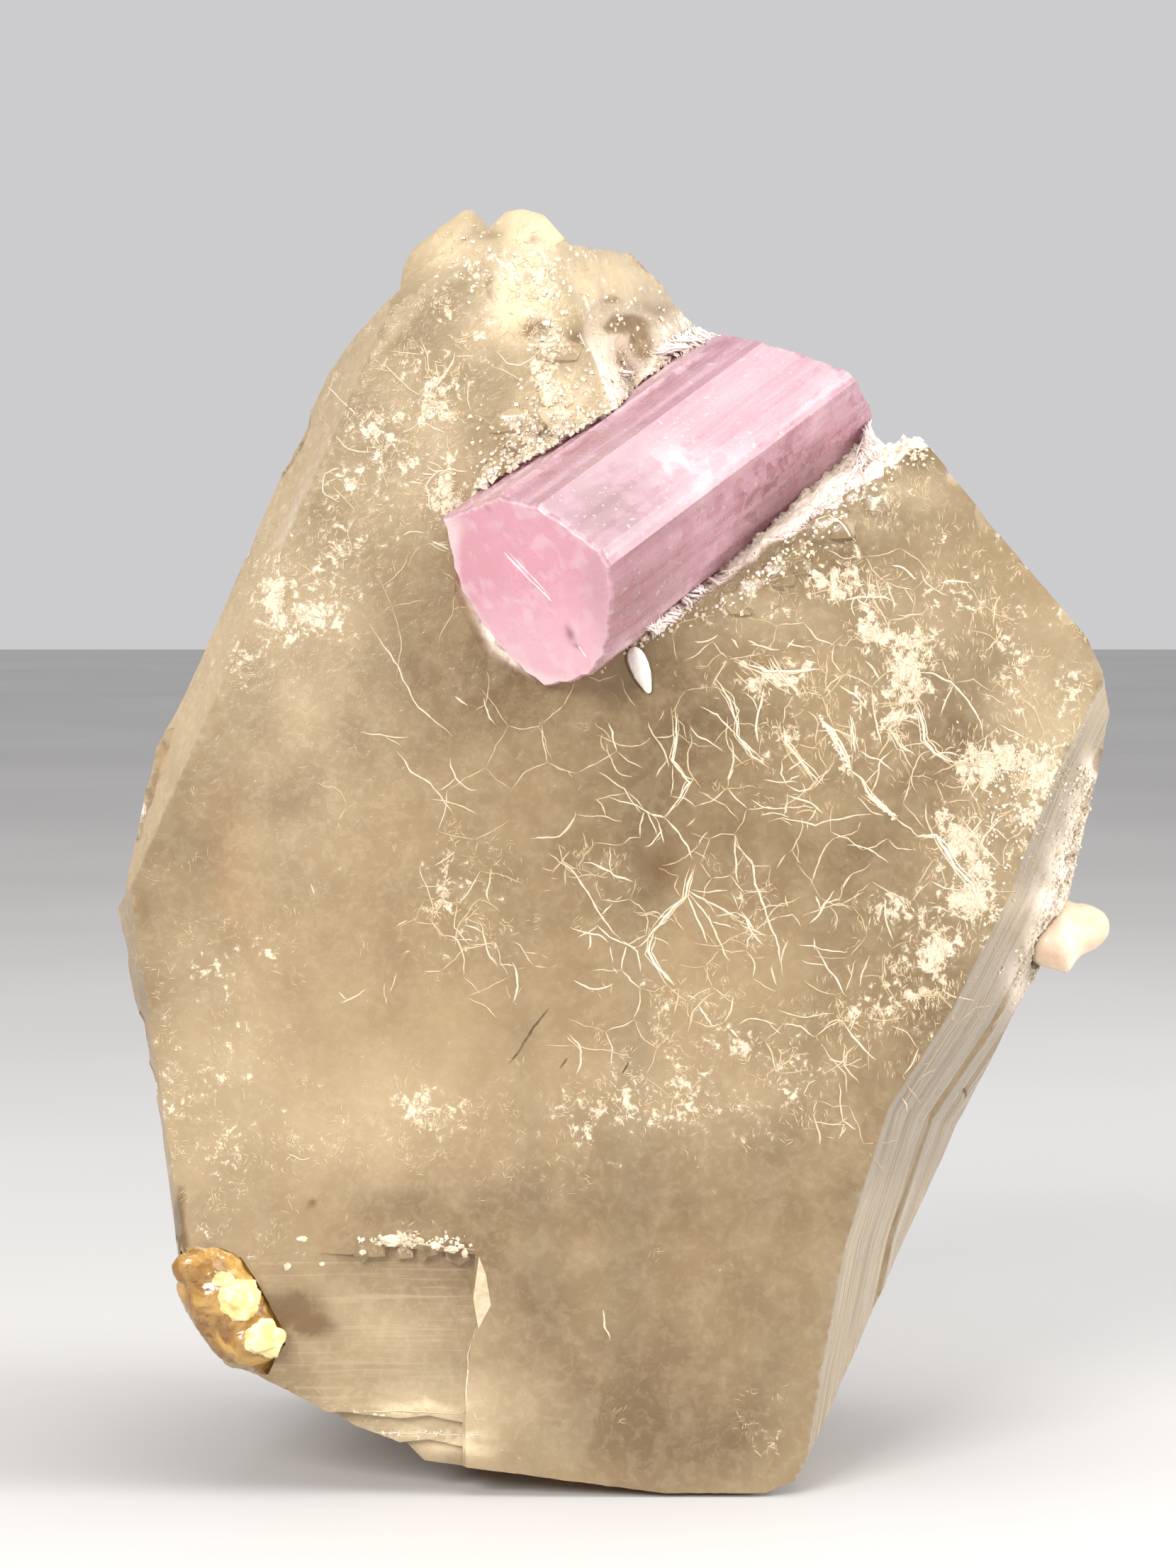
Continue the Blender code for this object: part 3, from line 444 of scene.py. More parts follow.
class Shader:
    """Builds one material's nodes, with short calls for the steps that repeat."""

    def __init__(self, name, roughness=0.3, ior=1.55, coat=0.0):
        self.material = bpy.data.materials.new(name)
        self.material.use_nodes = True
        self.tree = self.material.node_tree
        self.principled = self.tree.nodes["Principled BSDF"]
        self.set(Roughness=roughness, IOR=ior, Coat_Weight=coat)
        to_mm = self.node("VectorMath")
        to_mm.operation = "SCALE"
        self.put(self.node("TexCoord").outputs["Object"], to_mm.inputs[0])
        self.put(1 / MM, to_mm.inputs["Scale"])
        self.place = to_mm.outputs[0]

    def put(self, value, socket):
        """Links another node's output to a socket, or sets the socket to a number or an sRGB colour."""
        if isinstance(value, bpy.types.NodeSocket):
            self.tree.links.new(value, socket)
        elif isinstance(value, tuple):
            socket.default_value = (*linear(*value), 1)
        else:
            socket.default_value = value

    def node(self, kind, **values):
        """A new node, with the named sockets filled."""
        made = self.tree.nodes.new("ShaderNode" + kind)
        for name, value in values.items():
            self.put(value, made.inputs[name.replace("_", " ")])
        return made

    def noise(self, scale, detail=4, distortion=0.0, place=None, roughness=0.55):
        made = self.node("TexNoise", Vector=place or self.place, Scale=scale, Detail=detail,
                         Roughness=roughness, Distortion=distortion)
        return made.outputs["Fac"]

    def ramp(self, value, low, high, to_low=0.0, to_high=1.0):
        made = self.node("MapRange", Value=value, From_Min=low, From_Max=high, To_Min=to_low, To_Max=to_high)
        made.interpolation_type = "SMOOTHSTEP"
        return made.outputs["Result"]

    def math(self, operation, *values):
        made = self.node("Math")
        made.operation = operation
        for value, socket in zip(values, made.inputs):
            self.put(value, socket)
        return made.outputs[0]

    def times(self, first, second):
        return self.math("MULTIPLY", first, second)

    def mix(self, share, first, second):
        made = self.node("Mix")
        made.data_type = "RGBA"
        self.put(share, made.inputs["Factor"])
        sockets = [socket for socket in made.inputs if socket.type == "RGBA"]
        for value, socket in zip((first, second), sockets):
            self.put(value, socket)
        return [socket for socket in made.outputs if socket.type == "RGBA"][0]

    def attribute(self, name):
        made = self.node("Attribute")
        made.attribute_name = name
        return made.outputs["Fac"]

    def joined(self, x, y, z):
        return self.node("CombineXYZ", X=x, Y=y, Z=z).outputs[0]

    def bump(self, height, strength, distance):
        made = self.node("Bump", Strength=strength, Distance=distance * MM, Height=height)
        self.set(Normal=made.outputs["Normal"])

    def set(self, **values):
        for name, value in values.items():
            self.put(value, self.principled.inputs[name.replace("_", " ")])

    def absorb(self, colour, density):
        volume = self.node("VolumeAbsorption", Color=colour, Density=density)
        self.put(volume.outputs[0], self.tree.nodes["Material Output"].inputs["Volume"])


QUARTZ_MARKS = ("tone", "pale", "stain_and_shadow", "lace", "crumbly", "striated", "layered", "across", "lengthwise")


def quartz_material():
    """Smoky quartz: clear where nothing is painted on it, milky where it is white or pale."""
    shader = Shader("smoky_quartz", ior=1.55)
    marks = map(shader.attribute, QUARTZ_MARKS)
    tone, pale, stain_and_shadow, lace, crumbly, striated, layered, across, lengthwise = marks

    fine = shader.noise(1.5, 4, 0.4, roughness=0.68)
    mottle = shader.noise(0.45, 3, 0.5)
    lines = shader.joined(shader.times(across, 8.0), shader.times(lengthwise, 0.09), 0.0)
    streaks = shader.noise(1.0, 3, 0.0, lines, 0.6)

    colour = shader.mix(tone, SMOKY_DARK, SMOKY_LIGHT)
    colour = shader.mix(shader.ramp(mottle, 0.4, 0.66, 0.0, 0.2), colour, (214, 194, 156))
    detail = shader.math("MULTIPLY_ADD", shader.math("MAXIMUM", pale, lace), 0.5, 0.14)
    colour = shader.mix(shader.times(shader.ramp(fine, 0.46, 0.62), detail), colour,
                        (226, 206, 170))
    colour = shader.mix(shader.times(pale, 0.85), colour, PALE_CREAM)
    layers = shader.times(layered, shader.ramp(streaks, 0.5, 0.66, 0.0, 0.45))
    colour = shader.mix(layers, colour, (226, 204, 166))

    whiteness = shader.ramp(shader.math("MULTIPLY_ADD", lace, 0.42, fine), 0.68, 0.84)
    colour = shader.mix(shader.times(whiteness, 0.72), colour, LACE_WHITE)

    side = shader.mix(shader.ramp(streaks, 0.38, 0.64), STRIATED_DARK, STRIATED_LIGHT)
    side = shader.mix(shader.times(pale, 0.8), side, PALE_CREAM)
    colour = shader.mix(striated, colour, side)
    colour = shader.mix(shader.times(crumbly, shader.ramp(fine, 0.36, 0.56, 0.55, 0.95)), colour,
                        CRUMB_WHITE)

    # Brown stains, with the painted shadow beside the honey crust
    stains_and_shadow = shader.ramp(shader.math("MULTIPLY_ADD", fine, 0.6, stain_and_shadow), 0.5, 1.0)
    colour = shader.mix(shader.times(stains_and_shadow, 0.85), colour, STAIN_AND_SHADOW_BROWN)

    opaque = shader.math("MAXIMUM", whiteness, crumbly)
    opaque = shader.math("MAXIMUM", opaque, shader.times(pale, 0.6))
    shader.set(Base_Color=colour, Transmission_Weight=shader.ramp(opaque, 0.0, 0.9, 0.55, 0.1),
               Roughness=shader.ramp(opaque, 0.0, 1.0, 0.16, 0.5))
    shader.bump(fine, 0.45, 0.12)
    shader.absorb(SMOKE_ABSORPTION, SMOKE_DENSITY)
    return shader.material


ROSE_LIGHT = (234, 190, 202)
ROSE_MIDDLE = (226, 174, 188)
ROSE_DARK = (168, 104, 118)
ROSE_GREY = (188, 152, 158)
ROSE_WHITE = (246, 230, 232)
END_ROSE = (221, 163, 178)
END_PALE = (238, 190, 203)
ROSE_ABSORPTION = (244, 190, 204)
ROSE_DENSITY = 50


# The white mark holds milky patches and the painted highlight along the end face's edges
PRISM_MARKS = ("along", "angle", "end_face", "end_pale", "dark", "white", "grey")


def tourmaline_material():
    """Pink tourmaline with fine lines along it, and a smoother, milkier end face."""
    shader = Shader("pink_tourmaline", ior=1.63)
    along, angle, end_face, end_pale, dark, white, grey = map(shader.attribute, PRISM_MARKS)
    lengthwise = shader.joined(shader.times(along, 0.14), shader.times(angle, 20.0), 0.0)
    streaks = shader.noise(1.0, 4, 0.2, lengthwise, 0.6)
    mottle = shader.noise(0.7, 3, 0.3, roughness=0.5)
    specks = shader.noise(3.2, 2, roughness=0.5)

    colour = shader.mix(shader.ramp(streaks, 0.36, 0.62), ROSE_LIGHT, ROSE_MIDDLE)
    colour = shader.mix(shader.times(grey, shader.ramp(mottle, 0.34, 0.56, 0.45, 0.95)), colour,
                        ROSE_GREY)
    deep = shader.times(dark, shader.ramp(mottle, 0.42, 0.56, 1.0, 0.25))
    deep = shader.times(deep, shader.ramp(streaks, 0.3, 0.6, 0.6, 1.0))
    colour = shader.mix(deep, colour, ROSE_DARK)
    # White: milky patches, and along the end face's edges a painted highlight
    cloud = shader.times(white, shader.ramp(mottle, 0.36, 0.6, 0.2, 0.6))
    colour = shader.mix(cloud, colour, ROSE_WHITE)
    glints = shader.times(shader.ramp(specks, 0.62, 0.68), shader.ramp(mottle, 0.45, 0.6, 0.2, 0.9))
    colour = shader.mix(glints, colour, ROSE_WHITE)

    end_colour = shader.mix(end_pale, END_ROSE, END_PALE)
    end_colour = shader.mix(shader.ramp(mottle, 0.5, 0.66, 0.0, 0.3), end_colour, ROSE_WHITE)
    # White on the end face: its painted highlight along the lower left edge
    end_colour = shader.mix(shader.times(white, 0.7), end_colour, ROSE_WHITE)
    end_colour = shader.mix(shader.times(grey, 0.6), end_colour, ROSE_GREY)
    end_colour = shader.mix(shader.times(dark, 0.75), end_colour, (128, 74, 86))
    colour = shader.mix(end_face, colour, end_colour)

    milky = shader.math("MAXIMUM", end_face, cloud)
    shader.set(Base_Color=colour, Transmission_Weight=shader.ramp(milky, 0.0, 1.0, 0.6, 0.25),
               Roughness=shader.ramp(mottle, 0.3, 0.7, 0.2, 0.36))
    relief = shader.times(streaks, shader.ramp(end_face, 0.0, 1.0, 1.0, 0.0))
    shader.bump(shader.math("MULTIPLY_ADD", mottle, 0.12, relief), 0.25, 0.1)
    shader.absorb(ROSE_ABSORPTION, ROSE_DENSITY)
    return shader.material


def plain_mineral(name, light, dark, scale, roughness, transmission=0.0, bump=0.2):
    """A mottled mineral of two colours."""
    shader = Shader(name, ior=1.53)
    mottle = shader.noise(scale, 6, 0.6)
    grain = shader.noise(scale * 7, 5)
    colour = shader.mix(shader.ramp(mottle, 0.35, 0.65), dark, light)
    shader.set(Base_Color=colour, Transmission_Weight=transmission,
               Roughness=shader.ramp(grain, 0.3, 0.7, roughness * 0.7, roughness * 1.3))
    shader.bump(shader.math("ADD", mottle, grain), bump, 0.15)
    return shader.material


def crust_material():
    """The wet-looking honey crust, yellow-white where its lumps are."""
    shader = Shader("honey_crust", ior=1.55, coat=0.6)
    shader.set(Coat_Roughness=0.08)
    mottle = shader.noise(0.55, 4, 0.8)
    grain = shader.noise(2.4, 4, 0.4)
    yellow = shader.math("MULTIPLY_ADD", shader.attribute("yellow"), 0.5, shader.times(grain, 0.5))
    colour = shader.mix(shader.ramp(mottle, 0.35, 0.65), (156, 108, 42), (218, 172, 88))
    colour = shader.mix(shader.ramp(grain, 0.58, 0.7, 0.0, 0.7), colour, (92, 56, 20))
    colour = shader.mix(shader.ramp(yellow, 0.45, 0.62), colour, (242, 224, 160))
    shader.set(Base_Color=colour, Transmission_Weight=shader.ramp(yellow, 0.4, 0.6, 0.35, 0.05),
               Roughness=shader.ramp(grain, 0.3, 0.7, 0.1, 0.3))
    shader.bump(shader.math("ADD", mottle, grain), 0.25, 0.2)
    return shader.material


# Pieces

def quartz_marks(point, normal):
    """The values painted on the quartz at one point, and its place across and along its fine lines."""
    px, py = seen_pixel(point)
    shown = smooth_step(-normal.y, -0.1, 0.25)
    wander_x = 24 * noise.noise(point * 0.45)
    wander_y = 24 * noise.noise(point * 0.45 + Vector((9, 9, 9)))
    clouds = noise.noise(point * 0.08) + 0.5 * noise.noise(point * 0.3)
    rough_edge = shown * spots(ROUGH_EDGE_PX, px, py)
    striated = striated_share(point, normal) * (1 - rough_edge)
    # Upper facets facing left are painted paler: partly their own yellowish colour, partly painted highlight
    # where the key light falls on them
    bevel_highlight = smooth_step(-normal.x, 0.5, 0.7) * smooth_step(-normal.y, -0.45, -0.1)
    bevel_highlight *= smooth_step(point.z, 34, 44)
    tone = 0.5 + 0.45 * clouds - 0.5 * shown * spots(BROWN_PX, px + wander_x, py + wander_y)
    pale = shown * spots(PALE_PX, px + wander_x * 0.5, py + wander_y * 0.5) * (0.9 + 0.5 * clouds)
    pale = max(pale, 0.7 * shown * spots(SMOOTH_FACET_PX, px, py))
    if normal.y < -0.9:
        below = smooth_step(step_edge(point) - point.z, 0, 0.5) * smooth_step(point.z, 17, 20)
        tone -= 0.14 * below * smooth_step(px, 450, 510) * smooth_step(1010 - px, 0, 60)
        edge_px = min(abs(px - at_height(LEFT_EDGE_PX, py, NO_EDGE_PX)), 90)
        pale = max(pale, 0.4 * smooth_step(72 - edge_px, 0, 14) * smooth_step(1200 - py, 0, 200))
    if striated:
        pale = at_height(SIDE_BANDS_PX, py, 0.5) * striated
    # Stains, and the painted shadow that the honey crust casts to its lower right
    stain_and_shadow = shown * spots(STAINS_AND_SHADOW_PX, px + wander_x * 0.35, py + wander_y * 0.35)
    if shown:
        lace = shown * lace_density(px, py) * (1 - 0.7 * striated)
    else:
        lace = 0.35 * smooth_step(clouds, -0.1, 0.6)
        pale = 0.5 * smooth_step(noise.noise(point * 0.11 + Vector((3, 7, 1))), 0.0, 0.5)
    layered = panel_share(px, py) * smooth_step(-normal.y, 0.8, 0.95)
    if not striated:
        back = smooth_step(normal.y, -0.2, 0.2) * smooth_step(0.7 - normal.z, 0, 0.2)
        layered = max(layered, 0.7 * back)
    return {
        "tone": min(1.0, max(0.0, tone)),
        # Paleness, with the painted highlight on the left bevel
        "pale": min(1.0, max(0.0, pale * (1 - bevel_highlight) + 0.45 * bevel_highlight)),
        "stain_and_shadow": stain_and_shadow,
        "lace": lace,
        "crumbly": max(notch_share(point, normal), rough_edge),
        "striated": striated,
        "layered": layered,
        "across": point.z * 0.4 if layered else depth_behind_front(point),
        "lengthwise": point.x if layered else point.z,
    }


def quartz_piece():
    """The dressed quartz. It gives back its points and triangles, for the pieces that sit on it."""
    vertices, triangles = fine_mesh("quartz_crystal", quartz_spacing)
    normals = vertex_normals(vertices, triangles)
    low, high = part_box("quartz_crystal")
    lifted = []
    for vertex, normal in zip(vertices, normals):
        place = vertex + normal * quartz_lift(vertex, normal) + FRONT_PLANE[1] * ledge_fill(vertex)
        lifted.append(Vector([min(max(place[axis], low[axis] / MM), high[axis] / MM) for axis in range(3)]))
    item = add_piece("quartz_surface", lifted, triangles, quartz_material(), 24,
                     "quartz_crystal")
    paint(item, [quartz_marks(vertex, normal) for vertex, normal in zip(vertices, normals)])
    return lifted, triangles


def prism_directions():
    """The tourmaline's own right and up."""
    right = (Vector((1, 0, 0)) - PRISM_AXIS * PRISM_AXIS.x).normalized()
    up = right.cross(PRISM_AXIS).normalized()
    return right, up if up.z > 0 else -up


# Marks on the tourmaline: place along, angle round the axis in degrees, half lengths, and strength
PRISM_DARK = [
    (10, 108, 14, 4, 0.6), (22, 108, 12, 4, 0.6), (8, 101, 9, 3, 0.4), (16, 96, 9, 3, 0.35),
    (18, 18, 4, 16, 1.0), (23, 10, 3, 14, 0.6), (28, 18, 2, 16, 0.8), (3, 12, 3, 20, 0.45),
    (26, 60, 3, 8, 0.2), (15, 30, 8, 5, 0.6), (7, 22, 2, 10, 0.4),
]
PRISM_WHITE = [
    (11, 60, 2.6, 16, 0.9), (13, 47, 3.4, 8, 0.8), (7, 84, 4, 8, 0.4), (20, 70, 8, 10, 0.35),
    (1.0, 120, 5, 8, 0.5), (12, 112, 14, 3, 0.6), (27, 45, 4, 10, 0.5), (9, 24, 3, 10, 0.3),
    (6, -30, 14, 12, 0.7), (22, -28, 12, 12, 0.7), (12, -6, 5, 14, 0.35), (25, -4, 3, 12, 0.4),
    (24, 30, 1.0, 9, 0.5), (14, 132, 18, 10, 1.0),
]
PRISM_GREY = [
    (4, 62, 5.5, 30, 1.0), (8.5, 66, 4.5, 14, 0.9), (8, 90, 6, 16, 0.6), (1.5, 10, 6, 26, 0.8),
    (5, 5, 4, 24, 0.6), (14, 75, 4, 16, 0.4),
]
# Marks on its end face, in millimetres to the right and up, half sizes, and strength
END_DARK = [
    (3.4, -1.9, 0.35, 0.5, 1.0), (3.9, -2.7, 0.3, 0.2, 0.8), (-3.7, 5.6, 0.3, 0.25, 0.6),
    (-4.2, 6.0, 0.2, 0.2, 0.5),
]
END_GREY = [(6.0, 2.6, 1.4, 3.0, 1.0), (6.4, -0.6, 0.8, 2.0, 0.6)]
SCRATCHES = [
    ((-2.2, 2.1), (1.9, 0.1), 0.06), ((-2.0, 2.6), (1.7, 0.5), 0.05), ((1.0, 0.6), (1.8, 0.1), 0.1),
    ((-2.4, 2.4), (-0.9, 1.6), 0.06), ((4.1, -2.6), (4.9, -3.3), 0.08),
]
SCRATCH_STEPS = 6
SCRATCH_SWAY = 0.05


def prism_marks(place, normal):
    """The values painted on the tourmaline at one place: along, across and above, in millimetres."""
    angle = math.atan2(place.z, place.y)
    degrees = math.degrees(angle)
    on_end = smooth_step(-normal.dot(PRISM_AXIS), 0.6, 0.9)
    wander = 1.2 * noise.noise(place * 0.5)
    side = place.x + wander, degrees + 5 * wander
    low = smooth_step(-place.z + 0.35 * place.y + wander, -2.0, 5.0)
    end = place.y + 0.2 * wander, place.z
    # Painted highlight: a thin pale line along the end face's lower left edge
    rim_highlight = smooth_step(math.hypot(place.y, place.z) + 0.15 * wander, 6.1, 7.0)
    rim_highlight *= smooth_step(-place.y - place.z, 1.5, 5.0)
    # Painted highlight: a pale line round the edge between the end face and the sides
    facing = -normal.dot(PRISM_AXIS)
    crease_highlight = 0.5 * smooth_step(facing, 0.2, 0.4) * (1 - smooth_step(facing, 0.9, 0.96))
    if on_end > 0.5:
        dark, grey, white = spots(END_DARK, *end), spots(END_GREY, *end), rim_highlight
    else:
        dark, grey, white = [spots(table, *side) for table in (PRISM_DARK, PRISM_GREY, PRISM_WHITE)]
    # The white mark holds the milky patches and the painted highlights along the end face's edges
    return {"along": place.x, "angle": angle, "end_face": on_end, "end_pale": low,
            "dark": dark, "white": max(crease_highlight, white), "grey": grey}


def tourmaline_piece():
    """The dressed tourmaline. It gives back its points and triangles, as the quartz does."""
    vertices, triangles = fine_mesh("tourmaline_crystal", lambda point, normal: PRISM_SPACING)
    normals = vertex_normals(vertices, triangles)
    right, up = prism_directions()
    marks = []
    lifted = []
    for point, normal in zip(vertices, normals):
        offset = point - PRISM_NEAR_END
        place = Vector((offset.dot(PRISM_AXIS), offset.dot(right), offset.dot(up)))
        side = 1 - smooth_step(abs(normal.dot(PRISM_AXIS)), 0.3, 0.8)
        side *= smooth_step(place.x, 0.2, 1.5)
        ridge = uneven(place.x * 0.03, place.y * 1.5, place.z * 1.5)
        ridge += 0.6 * uneven(place.x * 0.04, place.y * 3.4, place.z * 3.4)
        broken = smooth_step(normal.dot(PRISM_AXIS), 0.2, 0.6)
        rough = noise.noise(point * 0.9) + 0.5 * noise.noise(point * 2.2)
        lifted.append(point + normal * (PRISM_RELIEF * side * ridge + 0.2 * broken * rough))
        marks.append(prism_marks(place, normal))
    item = add_piece("tourmaline_surface", lifted, triangles, tourmaline_material(), 26,
                     "tourmaline_crystal")
    paint(item, marks)
    return lifted, triangles


def scratch_piece():
    """The fine white scratches on the tourmaline's end face."""
    right, up = prism_directions()
    draw = random.Random(5)
    scratches = Fibres()
    for start, end, radius in SCRATCHES:
        path = []
        for step in range(SCRATCH_STEPS + 1):
            share = step / SCRATCH_STEPS
            across = start[0] + (end[0] - start[0]) * share + draw.uniform(-SCRATCH_SWAY, SCRATCH_SWAY)
            above = start[1] + (end[1] - start[1]) * share + draw.uniform(-SCRATCH_SWAY, SCRATCH_SWAY)
            path.append((PRISM_NEAR_END + right * across + up * above, -PRISM_AXIS))
        scratches.add(path, radius, draw, 0.5)
    scratches.make("end_scratches",
                   plain_mineral("scratch_white", (255, 236, 236), (244, 206, 214), 2.0, 0.4))


def soft_piece(name, node, material, spacing, rounds, relief, grow=0.0, flatten=0.0):
    """A lump of the frame with its facets smoothed away, and a fine uneven surface."""
    vertices, triangles = fine_mesh(node, lambda point, normal: spacing)
    bm = bmesh.new()
    for vertex in vertices:
        bm.verts.new(vertex)
    bm.verts.ensure_lookup_table()
    for triangle in triangles:
        bm.faces.new([bm.verts[index] for index in triangle])
    for turn in range(rounds):
        bmesh.ops.smooth_vert(bm, verts=bm.verts, factor=0.5, use_axis_x=True, use_axis_y=True,
                              use_axis_z=True)
    bm.normal_update()
    placed = []
    for vertex in bm.verts:
        lift = noise.noise(vertex.co * relief[1]) + 0.4 * noise.noise(vertex.co * relief[1] * 3)
        rise = grow(vertex.co) if callable(grow) else grow
        place = vertex.co + vertex.normal * (rise + relief[0] * lift)
        proud = -depth_behind_front(place)
        placed.append(place - FRONT_PLANE[1] * max(0.0, proud * flatten))
    bm.free()
    return add_piece(name, placed, triangles, material, replaced=node)


NUB_WAIST_PX = 1504


def nub_grow(place):
    """How far the nub is swollen: most at its foot and its waist, hardly at its free end."""
    px, py = seen_pixel(place)
    waist = math.exp(-((px - NUB_WAIST_PX) / 11) ** 2)
    foot = smooth_step(py, 1330, 1365) * (1 - smooth_step(px, 1490, 1510))
    return 0.3 - 0.32 * smooth_step(px, 1488, 1525) + 0.3 * waist - 0.3 * foot


# Lumps: x, y, half width and half height in photograph pixels, and how far they stand out in millimetres
YELLOW_LUMPS_PX = [(336, 1841, 31, 27, 0.75), (369, 1898, 26, 24, 0.7), (312, 1815, 14, 12, 0.4)]
LEDGE_LUMPS_PX = [
    (551, 1757, 16, 8, 0.3), (612, 1765, 8, 6, 0.25), (636, 1770, 9, 5, 0.25), (655, 1776, 4, 7, 0.2),
    (510, 1774, 5, 4, 0.1), (424, 1755, 8, 4, 0.08), (403, 1795, 5, 5, 0.12), (452, 1791, 4, 3, 0.08),
    (590, 1757, 6, 4, 0.2), (575, 1762, 5, 4, 0.2),
]


def lump_piece(name, table, surface, tree, material):
    """Small uneven lumps that sit half sunk where the pixels say, joined to one mesh."""
    ball = bmesh.new()
    bmesh.ops.create_icosphere(ball, subdivisions=4, radius=1.0)
    corners = [vertex.co.copy() for vertex in ball.verts]
    triangles = [[vertex.index for vertex in face.verts] for face in ball.faces]
    ball.free()
    vertices = []
    faces = []
    for number, (px, py, half_width, half_height, proud) in enumerate(table):
        hit = surface.from_pixel(px, py, tree)
        if hit is None:
            continue
        first = len(vertices)
        seed = Vector((number * 3.7, 0, 0))
        for corner in corners:
            swell = 1 + 0.35 * noise.noise(corner * 1.7 + seed) + 0.16 * noise.noise(corner * 5 + seed)
            size = Vector((half_width * PIXEL, proud, half_height * PIXEL))
            vertices.append(hit[0] + Vector([corner[axis] * size[axis] * swell for axis in range(3)]))
        faces.extend([[first + corner for corner in triangle] for triangle in triangles])
    add_piece(name, vertices, faces, material)


def crust_piece():
    """The honey crust, yellow round its lumps."""
    item = soft_piece("honey_crust_surface", "amber_lump", crust_material(), 0.22, 10,
                      (0.2, 1.1), 0.3, 0.35)
    lumps = [(*row[:4], 1.0) for row in YELLOW_LUMPS_PX]
    pixels = [seen_pixel(vertex.co / MM) for vertex in item.data.vertices]
    paint(item, [{"yellow": 0.6 * spots(lumps, px, py)} for px, py in pixels])
    return item


# Threads, tufts and grains on the quartz

class Surface:
    """The finished front of the specimen, for laying fine pieces on it."""

    def __init__(self, quartz, tourmaline, crust):
        self.quartz = BVHTree.FromPolygons(*quartz)
        self.tourmaline = BVHTree.FromPolygons(*tourmaline)
        self.crust = BVHTree.FromPolygons([vertex.co / MM for vertex in crust.data.vertices],
                                          [tuple(face.vertices) for face in crust.data.polygons])

    def from_pixel(self, px, py, tree=None):
        """The point and normal of the quartz under a pixel, or None where something hides it."""
        x, z = photo_mm(px, py)
        line = (Vector((x, PHOTO_PLANE_Y, z)) - CAMERA).normalized()
        place, normal, face, distance = (tree or self.quartz).ray_cast(CAMERA, line)
        if place is None:
            return None
        if tree is None:
            hidden = self.tourmaline.ray_cast(CAMERA, line)
            if hidden[0] is not None and hidden[3] < distance:
                return None
        return place, normal


class Fibres:
    """Collects thin tubes and joins them to one mesh."""

    def __init__(self):
        self.vertices = []
        self.faces = []
        self.marks = []

    def add(self, path, radius, draw, height=0.6, bright=1.0):
        """A thin tube along points with normals, half sunk in the surface and fading at its ends."""
        count = len(path)
        if count < 2:
            return
        first = len(self.vertices)
        for index, (place, normal) in enumerate(path):
            ahead = path[min(index + 1, count - 1)][0]
            behind = path[max(index - 1, 0)][0]
            along = (ahead - behind).normalized()
            aside = along.cross(normal).normalized()
            share = index / (count - 1)
            taper = min(1.0, 0.3 + 3 * share, 0.3 + 3 * (1 - share))
            size = radius * taper * draw.uniform(0.7, 1.35)
            for side, up in ((1.0, 0.0), (0.0, height), (-1.0, 0.0), (0.0, -0.6)):
                self.vertices.append(place + aside * side * size + normal * up * size)
                self.marks.append({"bright": bright * min(1.0, taper + 0.2) * draw.uniform(0.8, 1.1)})
        for index in range(count - 1):
            ring = first + index * 4
            for corner in range(4):
                after = (corner + 1) % 4
                self.faces.append((ring + corner, ring + after, ring + 4 + after, ring + 4 + corner))
        last = first + (count - 1) * 4
        self.faces.append((first + 3, first + 2, first + 1, first))
        self.faces.append((last, last + 1, last + 2, last + 3))

    def make(self, name, material):
        paint(add_piece(name, self.vertices, self.faces, material), self.marks)


